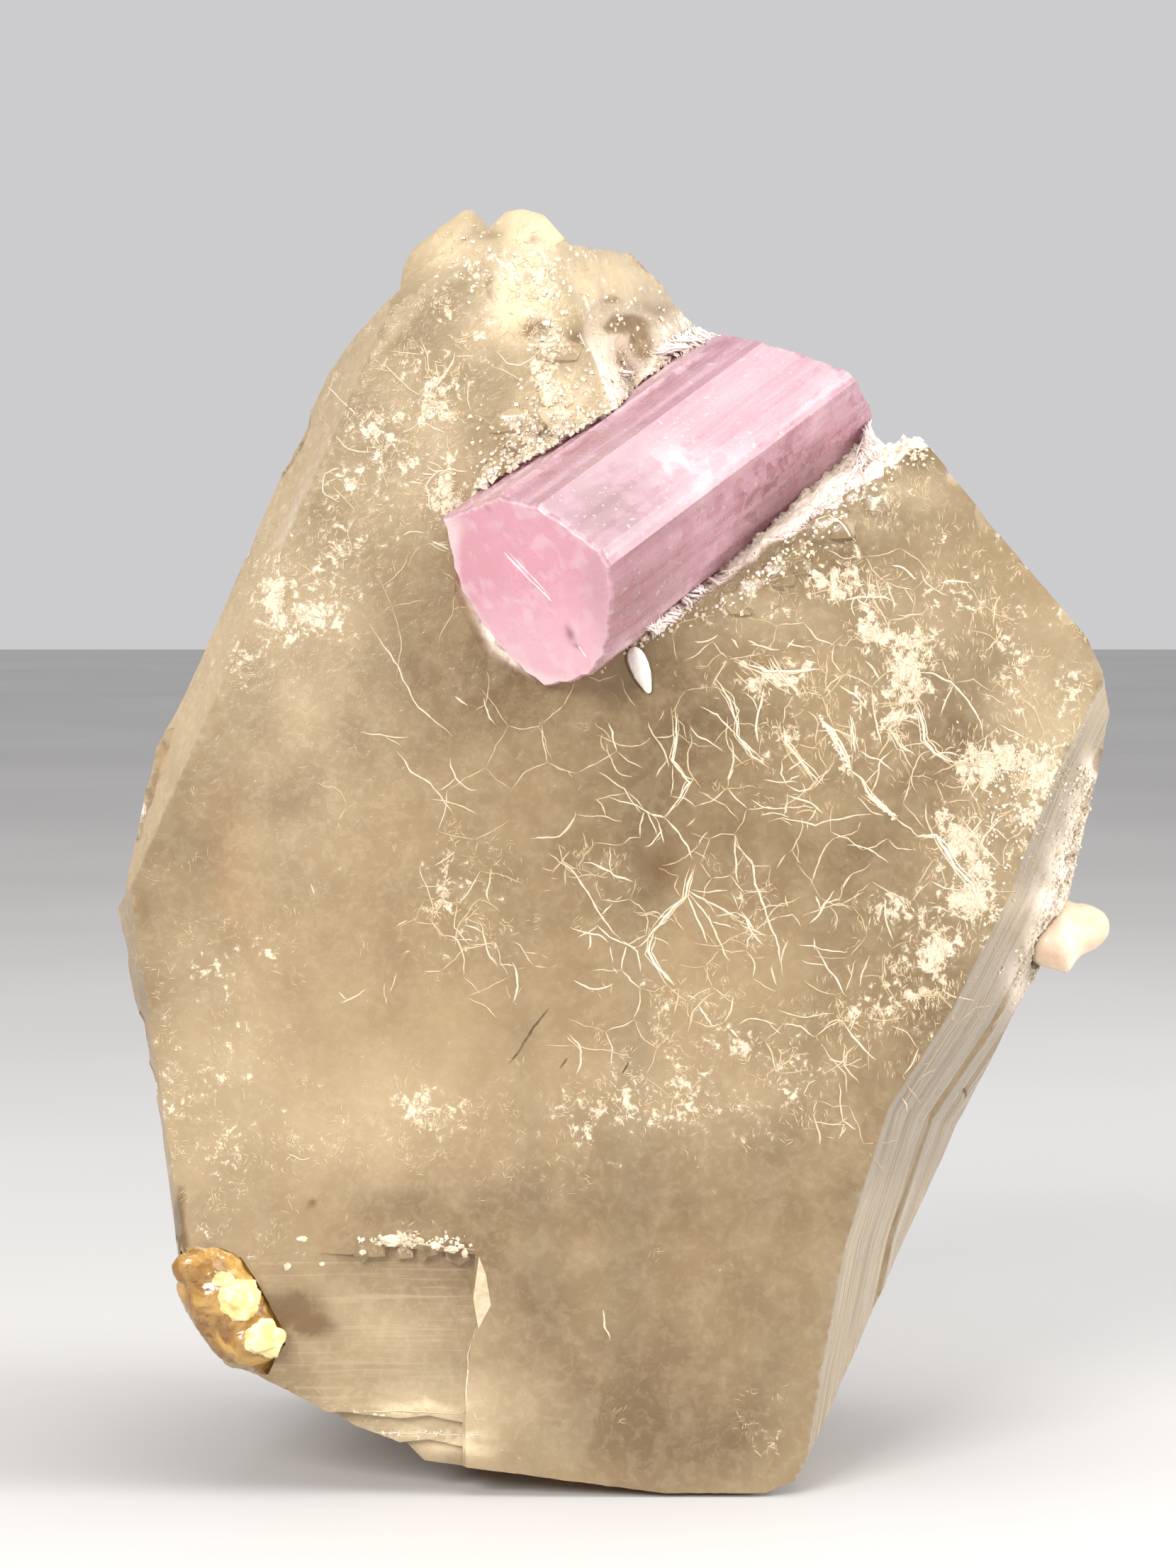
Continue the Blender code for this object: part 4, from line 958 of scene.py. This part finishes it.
# White veins: half width in pixels, then the line
VEINS_PX = [
    (3.6, [(1156, 1014), (1164, 1024), (1172, 1033), (1191, 1065), (1201, 1090)]),
    (2.2, [(1201, 1090), (1217, 1103), (1226, 1122), (1236, 1132)]),
    (4.0, [(1226, 1122), (1246, 1141), (1265, 1157)]), (1.4, [(1265, 1157), (1290, 1176), (1300, 1185)]),
    (3.2, [(1295, 1182), (1322, 1180), (1334, 1200), (1348, 1224), (1373, 1250), (1386, 1288)]),
    (1.6, [(1287, 950), (1316, 952), (1341, 963), (1367, 991), (1386, 1026), (1388, 1046)]),
    (1.5, [(1085, 1161), (1105, 1156), (1152, 1166), (1180, 1158), (1213, 1151), (1230, 1150)]),
    (2.0, [(1010, 958), (1030, 990), (1040, 1020), (1040, 1039), (1062, 1068), (1085, 1085)]),
    (1.6, [(989, 998), (1012, 1010), (1040, 1039)]),
    (2.0, [(953, 1003), (955, 1040), (948, 1074), (962, 1092), (973, 1105), (958, 1130), (938, 1156)]),
    (1.8, [(938, 1156), (917, 1151)]), (1.8, [(938, 1156), (958, 1178), (970, 1196), (978, 1215)]),
    (2.2, [(978, 1228), (972, 1250), (968, 1268), (945, 1290), (922, 1319)]),
    (2.4, [(922, 1319), (914, 1345), (930, 1372), (952, 1395)]),
    (1.8, [(968, 1258), (1000, 1275), (1045, 1299)]), (1.6, [(968, 1262), (985, 1300), (1000, 1335)]),
    (1.6, [(972, 1262), (1002, 1300), (1018, 1335), (1030, 1360)]),
    (1.4, [(975, 1258), (1000, 1262), (1028, 1258)]),
    (1.8, [(1038, 1180), (1046, 1200), (1064, 1222), (1066, 1250), (1082, 1290), (1100, 1340), (1105, 1380)]),
    (1.4, [(1038, 1180), (1038, 1210), (1042, 1250)]),
    (1.6, [(774, 1207), (790, 1218), (805, 1228), (830, 1262), (851, 1299), (876, 1330)]),
    (1.6, [(876, 1330), (900, 1345), (905, 1375)]),
    (2.2, [(1105, 1025), (1110, 1050), (1130, 1075), (1150, 1098), (1160, 1108)]),
    (1.4, [(1060, 1130), (1078, 1142), (1110, 1143), (1112, 1120)]),
    (2.0, [(1200, 1010), (1205, 1040), (1207, 1065)]), (1.6, [(1232, 1000), (1238, 1030), (1245, 1055)]),
    (2.0, [(1255, 1030), (1272, 1055), (1290, 1065)]),
    (2.4, [(1290, 990), (1300, 1012), (1305, 1045), (1318, 1065), (1350, 1080)]),
    (1.6, [(1240, 1022), (1265, 1016), (1290, 1010)]),
    (1.5, [(1358, 1155), (1375, 1180), (1395, 1205), (1415, 1225)]),
    (1.5, [(1250, 1270), (1251, 1300), (1262, 1330)]),
    (2.0, [(610, 765), (630, 775), (655, 785), (690, 800), (705, 812)]),
    (1.4, [(705, 812), (692, 835), (678, 850)]), (1.2, [(845, 1090), (880, 1115), (905, 1150)]),
    (1.5, [(520, 880), (560, 940), (590, 1000), (640, 1040)]),
    (1.4, [(560, 1060), (580, 1090), (610, 1110), (640, 1150)]),
    (1.6, [(700, 500), (716, 515), (735, 520), (752, 510), (780, 480)]),
    (1.3, [(668, 1890), (660, 1920), (657, 1960), (656, 2004)]),
    (1.6, [(852, 1856), (854, 1880), (862, 1900)]), (1.4, [(1034, 935), (1070, 950), (1100, 975)]),
    (2.4, [(1052, 938), (1080, 948), (1110, 950), (1158, 946)]),
    (2.2, [(1086, 930), (1096, 945), (1112, 968)]),
    (1.4, [(770, 340), (772, 380), (775, 420), (782, 460), (785, 480), (800, 500)]),
]
# Rounded edges of the ledge: half width and brightness, then the line
LEDGE_BEADS_PX = [
    (1.6, 0.45, [(520, 1759), (580, 1762), (640, 1768), (668, 1770)]),
    (1.5, 0.5, [(510, 2004), (560, 2001), (610, 2005), (660, 2006)]),
    (1.3, 0.8, [(525, 2032), (600, 2034), (684, 2037)]),
]
# Dark needles: half width in pixels, then the line
DARK_NEEDLES_PX = [
    (1.8, [(774, 1426), (755, 1452), (736, 1480), (718, 1505)]), (1.6, [(800, 1498), (790, 1513)]),
    (1.6, [(887, 1503), (879, 1518)]), (1.0, [(892, 912), (888, 930)]),
]
# Random threads and tufts, and the web of lines under them
THREAD_SEED = 12
THREAD_COUNT = 230
TUFT_COUNT = 1350
WEB_TRIES = 7000
WEB_SPACING_PX = (34, 80)
WEB_LONGEST_PX = 110
STEP_PX = 6
# Where the short needles of the lace lie mostly upright
UPRIGHT_FROM_PX = 1130


def pixel_path(surface, points):
    """Points and normals on the quartz along a line of pixels, with in-between points."""
    path = []
    for (x1, y1), (x2, y2) in zip(points, points[1:]):
        pieces = max(1, round(math.hypot(x2 - x1, y2 - y1) / STEP_PX))
        for piece in range(pieces + ((x2, y2) == points[-1])):
            share = piece / pieces
            px = x1 + (x2 - x1) * share + 2.2 * noise.noise(Vector((x1 + piece, y1, 0.3)) * 0.37)
            py = y1 + (y2 - y1) * share + 2.2 * noise.noise(Vector((x1, y1 + piece, 7.3)) * 0.37)
            hit = surface.from_pixel(px, py)
            if hit:
                path.append(hit)
    return path


def drawn_place(draw, density):
    """A random pixel, more often where the density is high."""
    while True:
        px = draw.uniform(190, 1540)
        py = draw.uniform(330, 2060)
        if draw.random() < 0.004 + density(px, py):
            return px, py


def web_points(draw):
    """Random pixels, closer together where the threads are many."""
    points = []
    for attempt in range(WEB_TRIES):
        px, py = draw.uniform(240, 1500), draw.uniform(420, 1700)
        density = spots(THREADED_PX, px, py)
        if density < 0.12:
            continue
        spacing = WEB_SPACING_PX[1] + (WEB_SPACING_PX[0] - WEB_SPACING_PX[1]) * density
        if all(math.hypot(px - x, py - y) > spacing for x, y in points):
            points.append((px, py))
    return points


def web_lines(draw):
    """Lines that meet by threes, as cracks do: they join the middles of neighbouring triangles."""
    web = geometry.delaunay_2d_cdt([Vector(point) for point in web_points(draw)], [], [], 0, 1e-6)
    points, triangles = web[0], web[2]
    middles = [(points[a] + points[b] + points[c]) / 3 for a, b, c in triangles]
    sides = {}
    for number, corners in enumerate(triangles):
        for index in range(3):
            side = frozenset((corners[index], corners[(index + 1) % 3]))
            sides.setdefault(side, []).append(middles[number])
    return [ends for ends in sides.values()
            if len(ends) == 2 and (ends[0] - ends[1]).length < WEB_LONGEST_PX]


def add_web(surface, draw, fibres):
    """Threads along part of the web's lines, in clumps."""
    for start, end in web_lines(draw):
        middle = (start + end) / 2
        density = spots(THREADED_PX, *middle)
        clump = 0.5 + uneven(middle.x * 0.011, middle.y * 0.011, 2.0)
        if draw.random() > 0.3 + 0.7 * density * smooth_step(clump, 0.0, 0.6):
            continue
        bright = min(1.0, max(0.12, clump * draw.uniform(0.5, 1.2) * (0.5 + 0.5 * density)))
        across = Vector((start.y - end.y, end.x - start.x)) * draw.gauss(0, 0.1)
        points = [tuple(start), tuple(middle + across), tuple(end)]
        fibres.add(pixel_path(surface, points), 0.026 + 0.038 * bright, draw, 0.5, bright)


def wandering_thread(surface, draw, px, py, heading, length, fibres, bright, branches=2):
    """A thread that bends at random, with thinner ones that branch off it."""
    path = []
    bend = draw.uniform(-0.08, 0.08)
    for step in range(length):
        hit = surface.from_pixel(px, py)
        if hit is None or hit[1].y > -0.3 or (path and (hit[0] - path[-1][0]).length > 1.0):
            break
        path.append(hit)
        heading += bend + draw.gauss(0, 0.2)
        px += STEP_PX * math.cos(heading)
        py += STEP_PX * math.sin(heading)
        if branches and step > 2 and draw.random() < 0.13:
            fork = heading + draw.choice((-1, 1)) * draw.uniform(0.5, 1.0)
            wandering_thread(surface, draw, px, py, fork, max(3, length // 2), fibres, bright * 0.9,
                             branches - 1)
    radius = draw.uniform(0.03, 0.055) * (1 + 0.2 * branches) * (0.7 + 0.5 * bright)
    fibres.add(path, radius, draw, 0.5, bright)


def tuft(surface, draw, px, py, strength, fibres):
    """Short needles that spread from one place."""
    upright = px > UPRIGHT_FROM_PX and draw.random() < 0.7
    heading = draw.gauss(math.pi / 2, 0.25) if upright else draw.uniform(0, math.tau)
    spread = 0.35 if upright else draw.uniform(0.4, 1.8)
    for needle in range(draw.randint(3, 8)):
        turn = heading + draw.uniform(-spread, spread)
        reach = draw.uniform(4, 15)
        start_x = px + draw.gauss(0, 7)
        start_y = py + draw.gauss(0, 7)
        path = []
        for part in (0, 0.5, 1):
            bow = draw.uniform(-1.2, 1.2)
            hit = surface.from_pixel(start_x + reach * part * math.cos(turn) + bow,
                                     start_y + reach * part * math.sin(turn) - bow)
            if hit and hit[1].y < -0.3 and (not path or (hit[0] - path[-1][0]).length < 1.5):
                path.append(hit)
        bright = min(1.0, draw.uniform(0.35, 1.1) * (0.15 + 0.85 * strength))
        fibres.add(path, draw.uniform(0.03, 0.08) * (0.45 + 0.55 * strength), draw, 0.5, bright)


def thread_material():
    """Faint threads take the quartz's own colour, bright ones are cream-white."""
    shader = Shader("thread_white", roughness=0.5, ior=1.5)
    bright = shader.attribute("bright")
    mottle = shader.noise(1.4, 3)
    colour = shader.mix(shader.ramp(bright, 0.05, 0.95), (184, 160, 124), (220, 208, 186))
    shader.set(Base_Color=shader.mix(shader.ramp(mottle, 0.4, 0.75, 0.0, 0.5), colour, (206, 182, 142)),
               Roughness=shader.ramp(mottle, 0.3, 0.7, 0.35, 0.6))
    return shader.material


def thread_pieces(surface):
    """The veins, threads, tufts and dark needles on the quartz."""
    thread_white = thread_material()
    dark = plain_mineral("needle_brown", (112, 84, 54), (74, 54, 36), 1.0, 0.4)
    draw = random.Random(THREAD_SEED)
    veins = Fibres()
    for half_width, points in VEINS_PX:
        bright = min(1.0, 0.45 + 0.16 * half_width)
        veins.add(pixel_path(surface, points), half_width * PIXEL * 0.8, draw, 0.5, bright)
        for side in (-1, 1):
            shifted = [(px + side * draw.uniform(2, 6), py + draw.uniform(-6, 6)) for px, py in points]
            if half_width > 1.9:
                veins.add(pixel_path(surface, shifted), half_width * PIXEL * 0.4, draw, 0.5, bright * 0.8)
    for half_width, bright, points in LEDGE_BEADS_PX:
        veins.add(pixel_path(surface, points), half_width * PIXEL, draw, 0.6, bright)
    veins.make("white_veins", thread_white)
    threads = Fibres()
    add_web(surface, draw, threads)
    for number in range(THREAD_COUNT):
        px, py = drawn_place(draw, lambda px, py: spots(THREADED_PX, px, py))
        bright = draw.uniform(0.15, 0.5) if draw.random() < 0.6 else draw.uniform(0.5, 0.9)
        heading, length = draw.uniform(0, math.tau), draw.randint(4, 15)
        wandering_thread(surface, draw, px, py, heading, length, threads, bright)
    threads.make("white_threads", thread_white)
    tufts = Fibres()
    for number in range(TUFT_COUNT):
        px, py = drawn_place(draw, lace_density)
        tuft(surface, draw, px, py, lace_density(px, py), tufts)
    tufts.make("feathery_tufts", thread_white)
    needles = Fibres()
    for half_width, points in DARK_NEEDLES_PX:
        needles.add(pixel_path(surface, points), half_width * PIXEL * 0.8, draw, 0.4)
    needles.make("dark_needles", dark)


# A pale chip on the upright edge of the ledge
CHIP_PX = [(675, 1780), (685, 1806), (692, 1850), (674, 1884), (667, 1840)]
CHIP_LIFT = 0.05
CHIP_DEPTH = 0.4


def chip_piece(surface):
    """A thin chip with a flat face."""
    places = [surface.from_pixel(px, py)[0] for px, py in CHIP_PX]
    count = len(places)
    vertices = [place + FRONT_PLANE[1] * lift for lift in (CHIP_LIFT, -CHIP_DEPTH) for place in places]
    faces = [list(range(count)), list(reversed(range(count, 2 * count)))]
    for corner in range(count):
        after = (corner + 1) % count
        faces.append([after, corner, count + corner, count + after])
    add_piece("ledge_chips", vertices, faces, plain_mineral(
        "chip_cream", (216, 198, 164), (198, 176, 140), 1.2, 0.35, 0.2, 0.4), 20)


# The seam of the tourmaline, in pixels: the ridge that it is measured from and the ways along and down
RIDGE_START_PX = Vector((858, 805))
ALONG_PX = Vector((11.8, -8.66))
DOWNWARD_PX = Vector((0.591, 0.806))
SEAM_FIBRES = 4000
SEAM_LONGEST = 12.0
SEAM_SEED = 21
# How far the fibres reach onto the quartz, and how far on the first millimetres of the tourmaline
SEAM_OUTER_PX = 28
SEAM_OUTER_NEAR_PX = 12
SEAM_NEAR = 8


def seam_place(surface, along, side):
    """The pixel where the tourmaline ends, straight down (1) or up (-1) from its ridge."""
    place = RIDGE_START_PX + ALONG_PX * along
    for step in range(0, 260, 3):
        ahead = place + DOWNWARD_PX * side * step
        if surface.from_pixel(*ahead, surface.tourmaline) is None:
            return ahead
    return None


def seam_piece(surface):
    """Short pinkish-white fibres that close the seam between the tourmaline and the quartz."""
    draw = random.Random(SEAM_SEED)
    fibres = Fibres()
    for number in range(SEAM_FIBRES):
        side = draw.choice((1, -1))
        along = draw.uniform(0 if side > 0 else 3, 31)
        start = seam_place(surface, along, side)
        if start is None:
            continue
        turn = DOWNWARD_PX * side + ALONG_PX * draw.gauss(0, 0.045)
        outer_reach = draw.uniform(4, SEAM_OUTER_NEAR_PX if along < SEAM_NEAR else SEAM_OUTER_PX)
        inner_reach = draw.uniform(1, 9 if side > 0 else 5)
        outer = surface.from_pixel(*(start + turn * outer_reach))
        inner = surface.from_pixel(*(start - turn * inner_reach), surface.tourmaline)
        if outer is None or inner is None or (outer[0] - inner[0]).length > SEAM_LONGEST:
            continue
        path = []
        for part in range(5):
            place = outer[0].lerp(inner[0], part / 4)
            sway = Vector((draw.gauss(0, 0.07), draw.gauss(0, 0.07), draw.gauss(0, 0.07)))
            path.append((place + sway, FRONT_PLANE[1]))
        fibres.add(path, draw.uniform(0.05, 0.13), draw, 0.8, draw.uniform(0.4, 1.0))
    shader = Shader("seam_white", roughness=0.5, ior=1.5)
    mottle = shader.noise(1.1, 3)
    colour = shader.mix(shader.attribute("bright"), (228, 196, 190), (250, 238, 230))
    shader.set(Base_Color=shader.mix(shader.ramp(mottle, 0.45, 0.7, 0.0, 0.5), colour, (232, 206, 192)),
               Roughness=shader.ramp(mottle, 0.3, 0.7, 0.35, 0.6))
    fibres.make("seam_fibres", shader.material)


# Grains: from and to in pixels, spread in pixels, number, and size in millimetres
GRAIN_ZONES_PX = [
    ((690, 694), (860, 596), 14, 420, 0.17), ((700, 680), (800, 560), 30, 260, 0.15),
    ((860, 600), (1000, 508), 8, 220, 0.16), ((890, 905), (1030, 850), 6, 60, 0.13),
    ((1030, 850), (1240, 680), 8, 110, 0.14), ((1230, 665), (1300, 632), 12, 80, 0.17),
    ((1160, 1020), (1200, 1085), 3, 46, 0.11), ((1226, 1122), (1266, 1157), 3, 36, 0.1),
    ((640, 350), (770, 430), 26, 90, 0.13), ((1395, 1080), (1490, 1140), 26, 120, 0.11),
    ((1536, 1090), (1500, 1270), 9, 380, 0.15), ((510, 1757), (665, 1760), 5, 60, 0.12),
    ((1500, 1270), (1440, 1400), 12, 240, 0.13), ((520, 2034), (680, 2036), 3, 30, 0.1),
    ((760, 560), (800, 400), 14, 80, 0.18), ((1380, 1260), (1440, 1120), 26, 120, 0.1),
    ((860, 560), (900, 440), 26, 90, 0.16),
]
GRAIN_SEED = 3
CUBE = [(x, y, z) for x in (-1, 1) for y in (-1, 1) for z in (-1, 1)]
CUBE_SIDES = [(0, 1, 3, 2), (4, 6, 7, 5), (0, 4, 5, 1), (2, 3, 7, 6), (0, 2, 6, 4), (1, 5, 7, 3)]
# Grains at the contact: how near the tourmaline and its axis, from where along it, and for what share
CONTACT_REACH = 0.9
CONTACT_AWAY = 10
CONTACT_START = 2.5
CONTACT_SHARE = 0.5


def contact_places(surface, draw, points):
    """Places on the quartz close to the tourmaline, where it grew round it, each with a size."""
    places = []
    for point in points:
        along, away = prism_place(point)
        if away > CONTACT_AWAY or along < CONTACT_START or draw.random() > CONTACT_SHARE:
            continue
        near = surface.tourmaline.find_nearest(point, CONTACT_REACH)
        if near[0] is not None:
            places.append((point, 0.12 if near[3] > 0.5 else 0.22))
    return places


def grain_piece(surface, points):
    """Sugary crystal grains on the rims of the notch and along the ledge, joined to one mesh."""
    draw = random.Random(GRAIN_SEED)
    places = contact_places(surface, draw, points)
    for start, end, spread, count, size in GRAIN_ZONES_PX:
        for number in range(count):
            share = draw.random()
            px = start[0] + (end[0] - start[0]) * share + draw.gauss(0, spread)
            py = start[1] + (end[1] - start[1]) * share + draw.gauss(0, spread)
            hit = surface.from_pixel(px, py)
            if hit:
                places.append((hit[0], size))
    vertices = []
    faces = []
    for place, size in places:
        turn_axis = Vector((draw.gauss(0, 1), draw.gauss(0, 1), draw.gauss(0, 1)))
        turn = Matrix.Rotation(draw.uniform(0, math.tau), 3, turn_axis)
        grain = size * draw.uniform(0.4, 1.15)
        stretch = [grain * draw.uniform(0.6, 1.3) for axis in range(3)]
        first = len(vertices)
        for corner in CUBE:
            cut = draw.uniform(0.6, 1.0)
            offset = Vector([corner[axis] * stretch[axis] * cut for axis in range(3)])
            vertices.append(place + turn @ offset)
        faces.extend([tuple(first + corner for corner in side) for side in CUBE_SIDES])
    add_piece("sugary_grains", vertices, faces, plain_mineral(
        "sugary_white", (250, 238, 218), (228, 208, 178), 1.2, 0.35, 0.25), 20)


# Stage

FLOOR_REACH = 3.0
FLOOR_Z = -0.0003


def area_light(name, place, target, size, power, colour=(1, 1, 1), mirrored=True):
    """A soft light aimed at a target. A light that isn't mirrored makes no highlight."""
    light = bpy.data.lights.new(name, "AREA")
    light.shape = "RECTANGLE"
    light.size, light.size_y = size
    light.energy = power
    light.color = colour
    item = bpy.data.objects.new(name, light)
    bpy.context.scene.collection.objects.link(item)
    item.visible_glossy = mirrored
    item.location = place
    item.rotation_euler = (Vector(target) - Vector(place)).to_track_quat("-Z", "Y").to_euler()


def make_stage():
    """The pale floor, three soft lights and a plain bright surround."""
    shader = Shader("pale_floor", roughness=0.7)
    shade = shader.noise(0.004, 3)
    shader.set(Base_Color=shader.mix(shader.ramp(shade, 0.3, 0.7), (190, 188, 186), (199, 197, 195)))
    mesh = bpy.data.meshes.new("floor")
    corners = [(x * FLOOR_REACH, y * FLOOR_REACH, 0) for x, y in ((-1, -1), (1, -1), (1, 1), (-1, 1))]
    mesh.from_pydata(corners, [], [(0, 1, 2, 3)])
    mesh.materials.append(shader.material)
    floor = bpy.data.objects.new("floor", mesh)
    bpy.context.scene.collection.objects.link(floor)
    floor.location.z = FLOOR_Z
    area_light("key", (-0.26, -0.56, 0.34), (0, 0, 0.05), (0.30, 0.26), 5.0, (1.0, 0.985, 0.96))
    area_light("top", (0.04, -0.04, 0.55), (0, 0, 0.05), (0.4, 0.4), 1.5)
    area_light("right", (0.5, -0.12, 0.2), (0.02, 0, 0.05), (0.22, 0.35), 3.6, mirrored=False)
    world = bpy.data.worlds.new("studio")
    bpy.context.scene.world = world
    world.use_nodes = True
    background = world.node_tree.nodes["Background"]
    background.inputs["Color"].default_value = (*linear(228, 228, 230), 1)
    background.inputs["Strength"].default_value = 0.78


def make_camera():
    """The camera at the photograph's angle."""
    camera = bpy.data.cameras.new("camera")
    camera.lens = CAMERA_LENS
    camera.sensor_width = 36
    camera.clip_start = 0.01
    item = bpy.data.objects.new("camera", camera)
    bpy.context.scene.collection.objects.link(item)
    item.location = CAMERA * MM
    item.rotation_euler = (CAMERA_TARGET - CAMERA).to_track_quat("-Z", "Y").to_euler()
    bpy.context.scene.camera = item


make_camera()
make_stage()
quartz = quartz_piece()
tourmaline = tourmaline_piece()
soft_piece("feldspar_surface", "feldspar_nub",
           plain_mineral("cream_feldspar", (238, 217, 192), (228, 192, 162), 0.35, 0.35, 0.1), 0.3, 20,
           (0.06, 0.6), nub_grow)
crust = crust_piece()
soft_piece("drop_surface", "white_drop",
           plain_mineral("white_crystal", (252, 248, 240), (242, 232, 216), 0.9, 0.3, 0.1), 0.16, 1,
           (0.03, 1.5), 0.05)
surface = Surface(quartz, tourmaline, crust)
thread_pieces(surface)
grain_piece(surface, quartz[0])
chip_piece(surface)
seam_piece(surface)
lump_piece("yellow_lumps", YELLOW_LUMPS_PX, surface, surface.crust,
           plain_mineral("yellow_white", (250, 238, 186), (236, 206, 128), 1.1, 0.45, 0.1, 0.5))
lump_piece("ledge_lumps", LEDGE_LUMPS_PX, surface, None,
           plain_mineral("ledge_white", (234, 220, 196), (206, 184, 150), 1.1, 0.4, 0.1, 0.5))
scratch_piece()

scene = bpy.context.scene
scene.cycles.max_bounces = 5
scene.cycles.diffuse_bounces = 2
scene.cycles.glossy_bounces = 2
scene.cycles.transmission_bounces = 4
scene.cycles.volume_bounces = 0
scene.view_settings.view_transform = "Standard"
scene.view_settings.look = "None"
